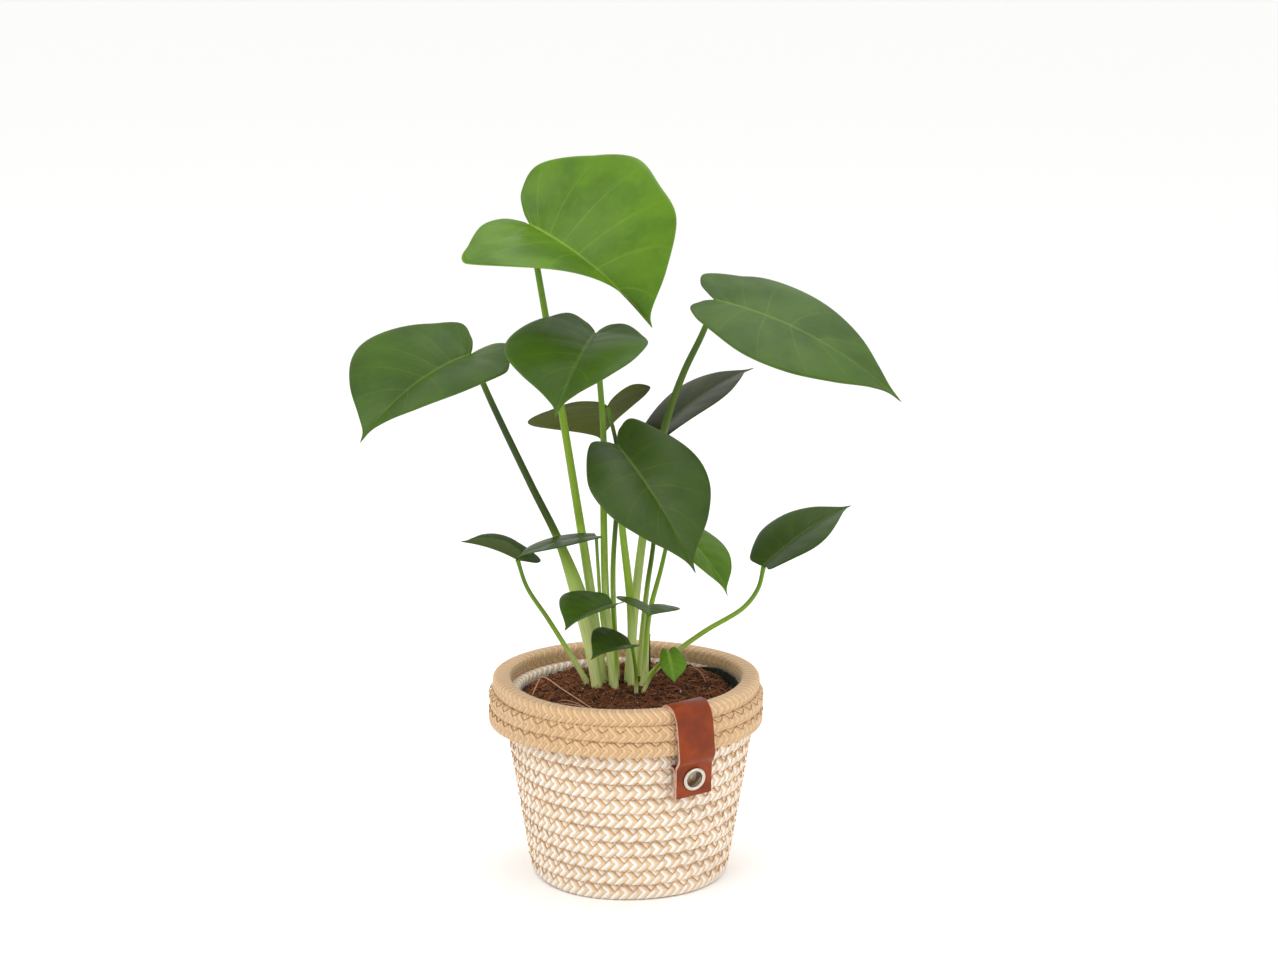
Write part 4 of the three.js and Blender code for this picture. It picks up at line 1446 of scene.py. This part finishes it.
# ---- strap ------------------------------------------------------------------------------
@dataclass
class Strap:
    """The leather strap over the rim, and the eyelet that holds its two layers."""

    bearing: float = -61.0
    eyelet_height: float = 74.0
    stand_off: float = 4.0
    leather: float = 1.6
    gap: float = 0.3
    tilt: float = 4.0
    bore: float = 4.6
    flange: float = 6.8
    plate: float = 0.9
    washer_radius: float = 5.9
    washer_play: float = 0.45
    soft_edge: float = 0.3
    barrel_wall: float = 0.3

    def axes(self, basket: Basket) -> tuple[Array, Array]:
        """Centre of the eyelet, and its axis pointing away from the basket.

        Args:
            basket: The basket that the strap hangs on.

        Returns:
            The centre in millimetres, and the axis, square to the leaning wall.
        """
        turn = math.radians(self.bearing)
        away = np.array([math.cos(turn), math.sin(turn), 0.0])
        middle = self.stand_off + (self.leather + self.gap) / 2
        radius = basket.wall_radius(self.eyelet_height) + middle
        centre = away * radius + np.array([0, 0, self.eyelet_height])
        return centre, unit(away - np.array([0, 0, basket.lean]))

    def make_leather(self, basket: Basket) -> None:
        """Make the strap from a merged copy of its CAD solid, turned a little about the eyelet.

        Faces that look along the strap's width take the cut-edge finish.

        Args:
            basket: The basket that the strap hangs on.
        """
        centre, axis = self.axes(basket)
        pivot = Matrix.Translation(Vector(centre * MM))
        swing = Matrix.Rotation(math.radians(self.tilt), 4, Vector(axis))
        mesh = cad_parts["leather_strap"].data.copy()
        mesh.name = "strap_leather"
        mesh.materials.clear()
        work = bmesh.new()
        work.from_mesh(mesh)
        bmesh.ops.remove_doubles(work, verts=work.verts, dist=1e-6)
        bmesh.ops.dissolve_limit(work, angle_limit=math.radians(1), verts=work.verts, edges=work.edges)
        bmesh.ops.transform(work, matrix=pivot @ swing @ pivot.inverted(), verts=work.verts)
        turn = math.radians(self.bearing)
        width = swing.to_3x3() @ Vector((-math.sin(turn), math.cos(turn), 0))
        for face in work.faces:
            face.smooth = True
            face.material_index = int(abs(face.normal.dot(width)) > 0.9)
        work.to_mesh(mesh)
        work.free()
        mesh.materials.append(LEATHER.material())
        mesh.materials.append(CUT_EDGE.material())
        piece = hang("strap_leather", mesh, "leather", "leather_strap")
        bevel = piece.modifiers.new("soft_edges", "BEVEL")
        bevel.width = self.soft_edge * MM
        bevel.segments = 2
        bevel.limit_method = "ANGLE"
        bevel.angle_limit = math.radians(40)
        bevel.harden_normals = True

    def ring(self, profile: Array, basket: Basket, sides: int = 72) -> Patch:
        """Turn a closed profile about the eyelet's axis.

        Args:
            profile: Radius and height of each of its points.
            basket: The basket that the strap hangs on.
            sides: Number of steps round.

        Returns:
            A patch closed both ways.
        """
        centre, axis = self.axes(basket)
        a = unit(np.cross(axis, [0, 0, 1]))
        b = np.cross(axis, a)
        w = FULL_TURN * np.arange(sides)[:, None, None] / sides
        radius, height = profile[None, :, :1], profile[None, :, 1:]
        points = centre + radius * (a * np.cos(w) + b * np.sin(w)) + height * axis
        return Patch(points, wrap_rows=True, wrap_columns=True)

    def make_eyelet(self, basket: Basket) -> None:
        """Make the eyelet, its front flange a half round from bore to rim, and its washer.

        Args:
            basket: The basket that the strap hangs on.
        """
        face = self.leather + self.gap * 1.5
        back = -face - self.plate
        w = np.linspace(0, math.pi, 14)[:, None]
        middle, half = (self.flange + self.bore) / 2, (self.flange - self.bore) / 2
        roll = np.hstack([middle + half * np.cos(w), face + self.plate * np.sin(w) ** 0.8])
        outside = self.bore + self.barrel_wall
        barrel = [[self.bore, back], [outside, back], [outside, face]]
        eyelet = self.ring(np.vstack([roll, barrel]), basket)
        make_piece("eyelet_ring", [eyelet], NICKEL.material(), "nickel", "eyelet")
        inner, outer = self.bore + self.washer_play, self.washer_radius
        washer = np.array([[inner, back], [outer, back], [outer, -face], [inner, -face]])
        ring = self.ring(washer, basket)
        make_piece("eyelet_back_washer", [ring], NICKEL.material(), "nickel", "eyelet_washer")


# ---- studio -----------------------------------------------------------------------------
@dataclass
class Studio:
    """Camera, pale floor and soft light."""

    eye: Point = (5.6, -1826, 648)
    pitch: float = 13.0
    lens: float = 95.3
    sensor: float = 36.0
    floor_reach: float = 12000.0
    aim: Point = (0, 0, 200)

    def make_camera(self) -> None:
        """Make a long-lens camera that looks along +Y and a little down."""
        data = bpy.data.cameras.new("camera")
        data.lens = self.lens
        data.sensor_width = self.sensor
        camera = bpy.data.objects.new("camera", data)
        camera.location = Vector(self.eye) * MM
        camera.rotation_euler = (math.radians(90 - self.pitch), 0, 0)
        bpy.context.scene.collection.objects.link(camera)
        bpy.context.scene.camera = camera

    def make_floor(self) -> None:
        """Make a plain pale floor under the basket."""
        mesh = bpy.data.meshes.new("floor")
        reach = self.floor_reach * MM
        corners = [(-reach, -reach, 0), (reach, -reach, 0), (reach, reach, 0), (-reach, reach, 0)]
        mesh.from_pydata(corners, [], [(0, 1, 2, 3)])
        floor = bpy.data.objects.new("floor", mesh)
        bpy.context.scene.collection.objects.link(floor)
        mesh.materials.append(Painter("pale_floor").surface((252, 252, 251), 0.9))

    def make_light(self, name: str, place: Point, size: float, power: float) -> None:
        """Add a square area light that looks at the middle of the plant.

        Args:
            name: Name of the light.
            place: Where it stands, in millimetres.
            size: Side of the square in millimetres.
            power: Power in watts.
        """
        data = bpy.data.lights.new(name, "AREA")
        data.size = size * MM
        data.energy = power
        light = bpy.data.objects.new(name, data)
        light.location = Vector(place) * MM
        look = Vector(self.aim) * MM - light.location
        light.rotation_euler = look.to_track_quat("-Z", "Y").to_euler()
        bpy.context.scene.collection.objects.link(light)

    def make_all(self) -> None:
        """Set the camera, the floor, the surroundings and the lights."""
        self.make_camera()
        self.make_floor()
        world = bpy.data.worlds.new("studio")
        world.use_nodes = True
        world.node_tree.nodes["Background"].inputs[0].default_value = (1, 1, 1, 1)
        world.node_tree.nodes["Background"].inputs[1].default_value = 1.0
        bpy.context.scene.world = world
        bpy.context.scene.view_settings.view_transform = "Standard"
        self.make_light("key", (-700, -900, 1300), 900, 7.5)
        self.make_light("top", (300, 200, 1500), 1000, 6)
        self.make_light("fill", (1100, -900, 500), 900, 3)


# ---- the whole --------------------------------------------------------------------------
def make_basket(basket: Basket) -> None:
    """Build the basket.

    Args:
        basket: Its sizes.
    """
    basket.make_bottom()
    basket.make_wall()
    basket.make_rim()
    basket.make_threads()
    basket.make_liner_fold()
    basket.dress_hidden()


def make_soil() -> None:
    """Build the compost and everything loose in it."""
    soil = Soil()
    soil.make_body()
    soil.make_crumbs()
    soil.make_fibres()
    soil.make_specks()
    soil.make_straws()
    soil.make_stub()


def make_leaves() -> None:
    """Build every blade and stalk."""
    foliage = Foliage()
    for leaf in LEAVES:
        foliage.make_blade(leaf)
        foliage.make_stalk(leaf)


def main() -> None:
    """Build the plant in order."""
    logging.basicConfig(level=logging.INFO, format="%(name)s %(message)s")
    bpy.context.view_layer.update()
    Studio().make_all()
    basket = Basket()
    make_basket(basket)
    make_soil()
    make_leaves()
    strap = Strap()
    strap.make_leather(basket)
    strap.make_eyelet(basket)


if __name__ == "__main__":
    main()
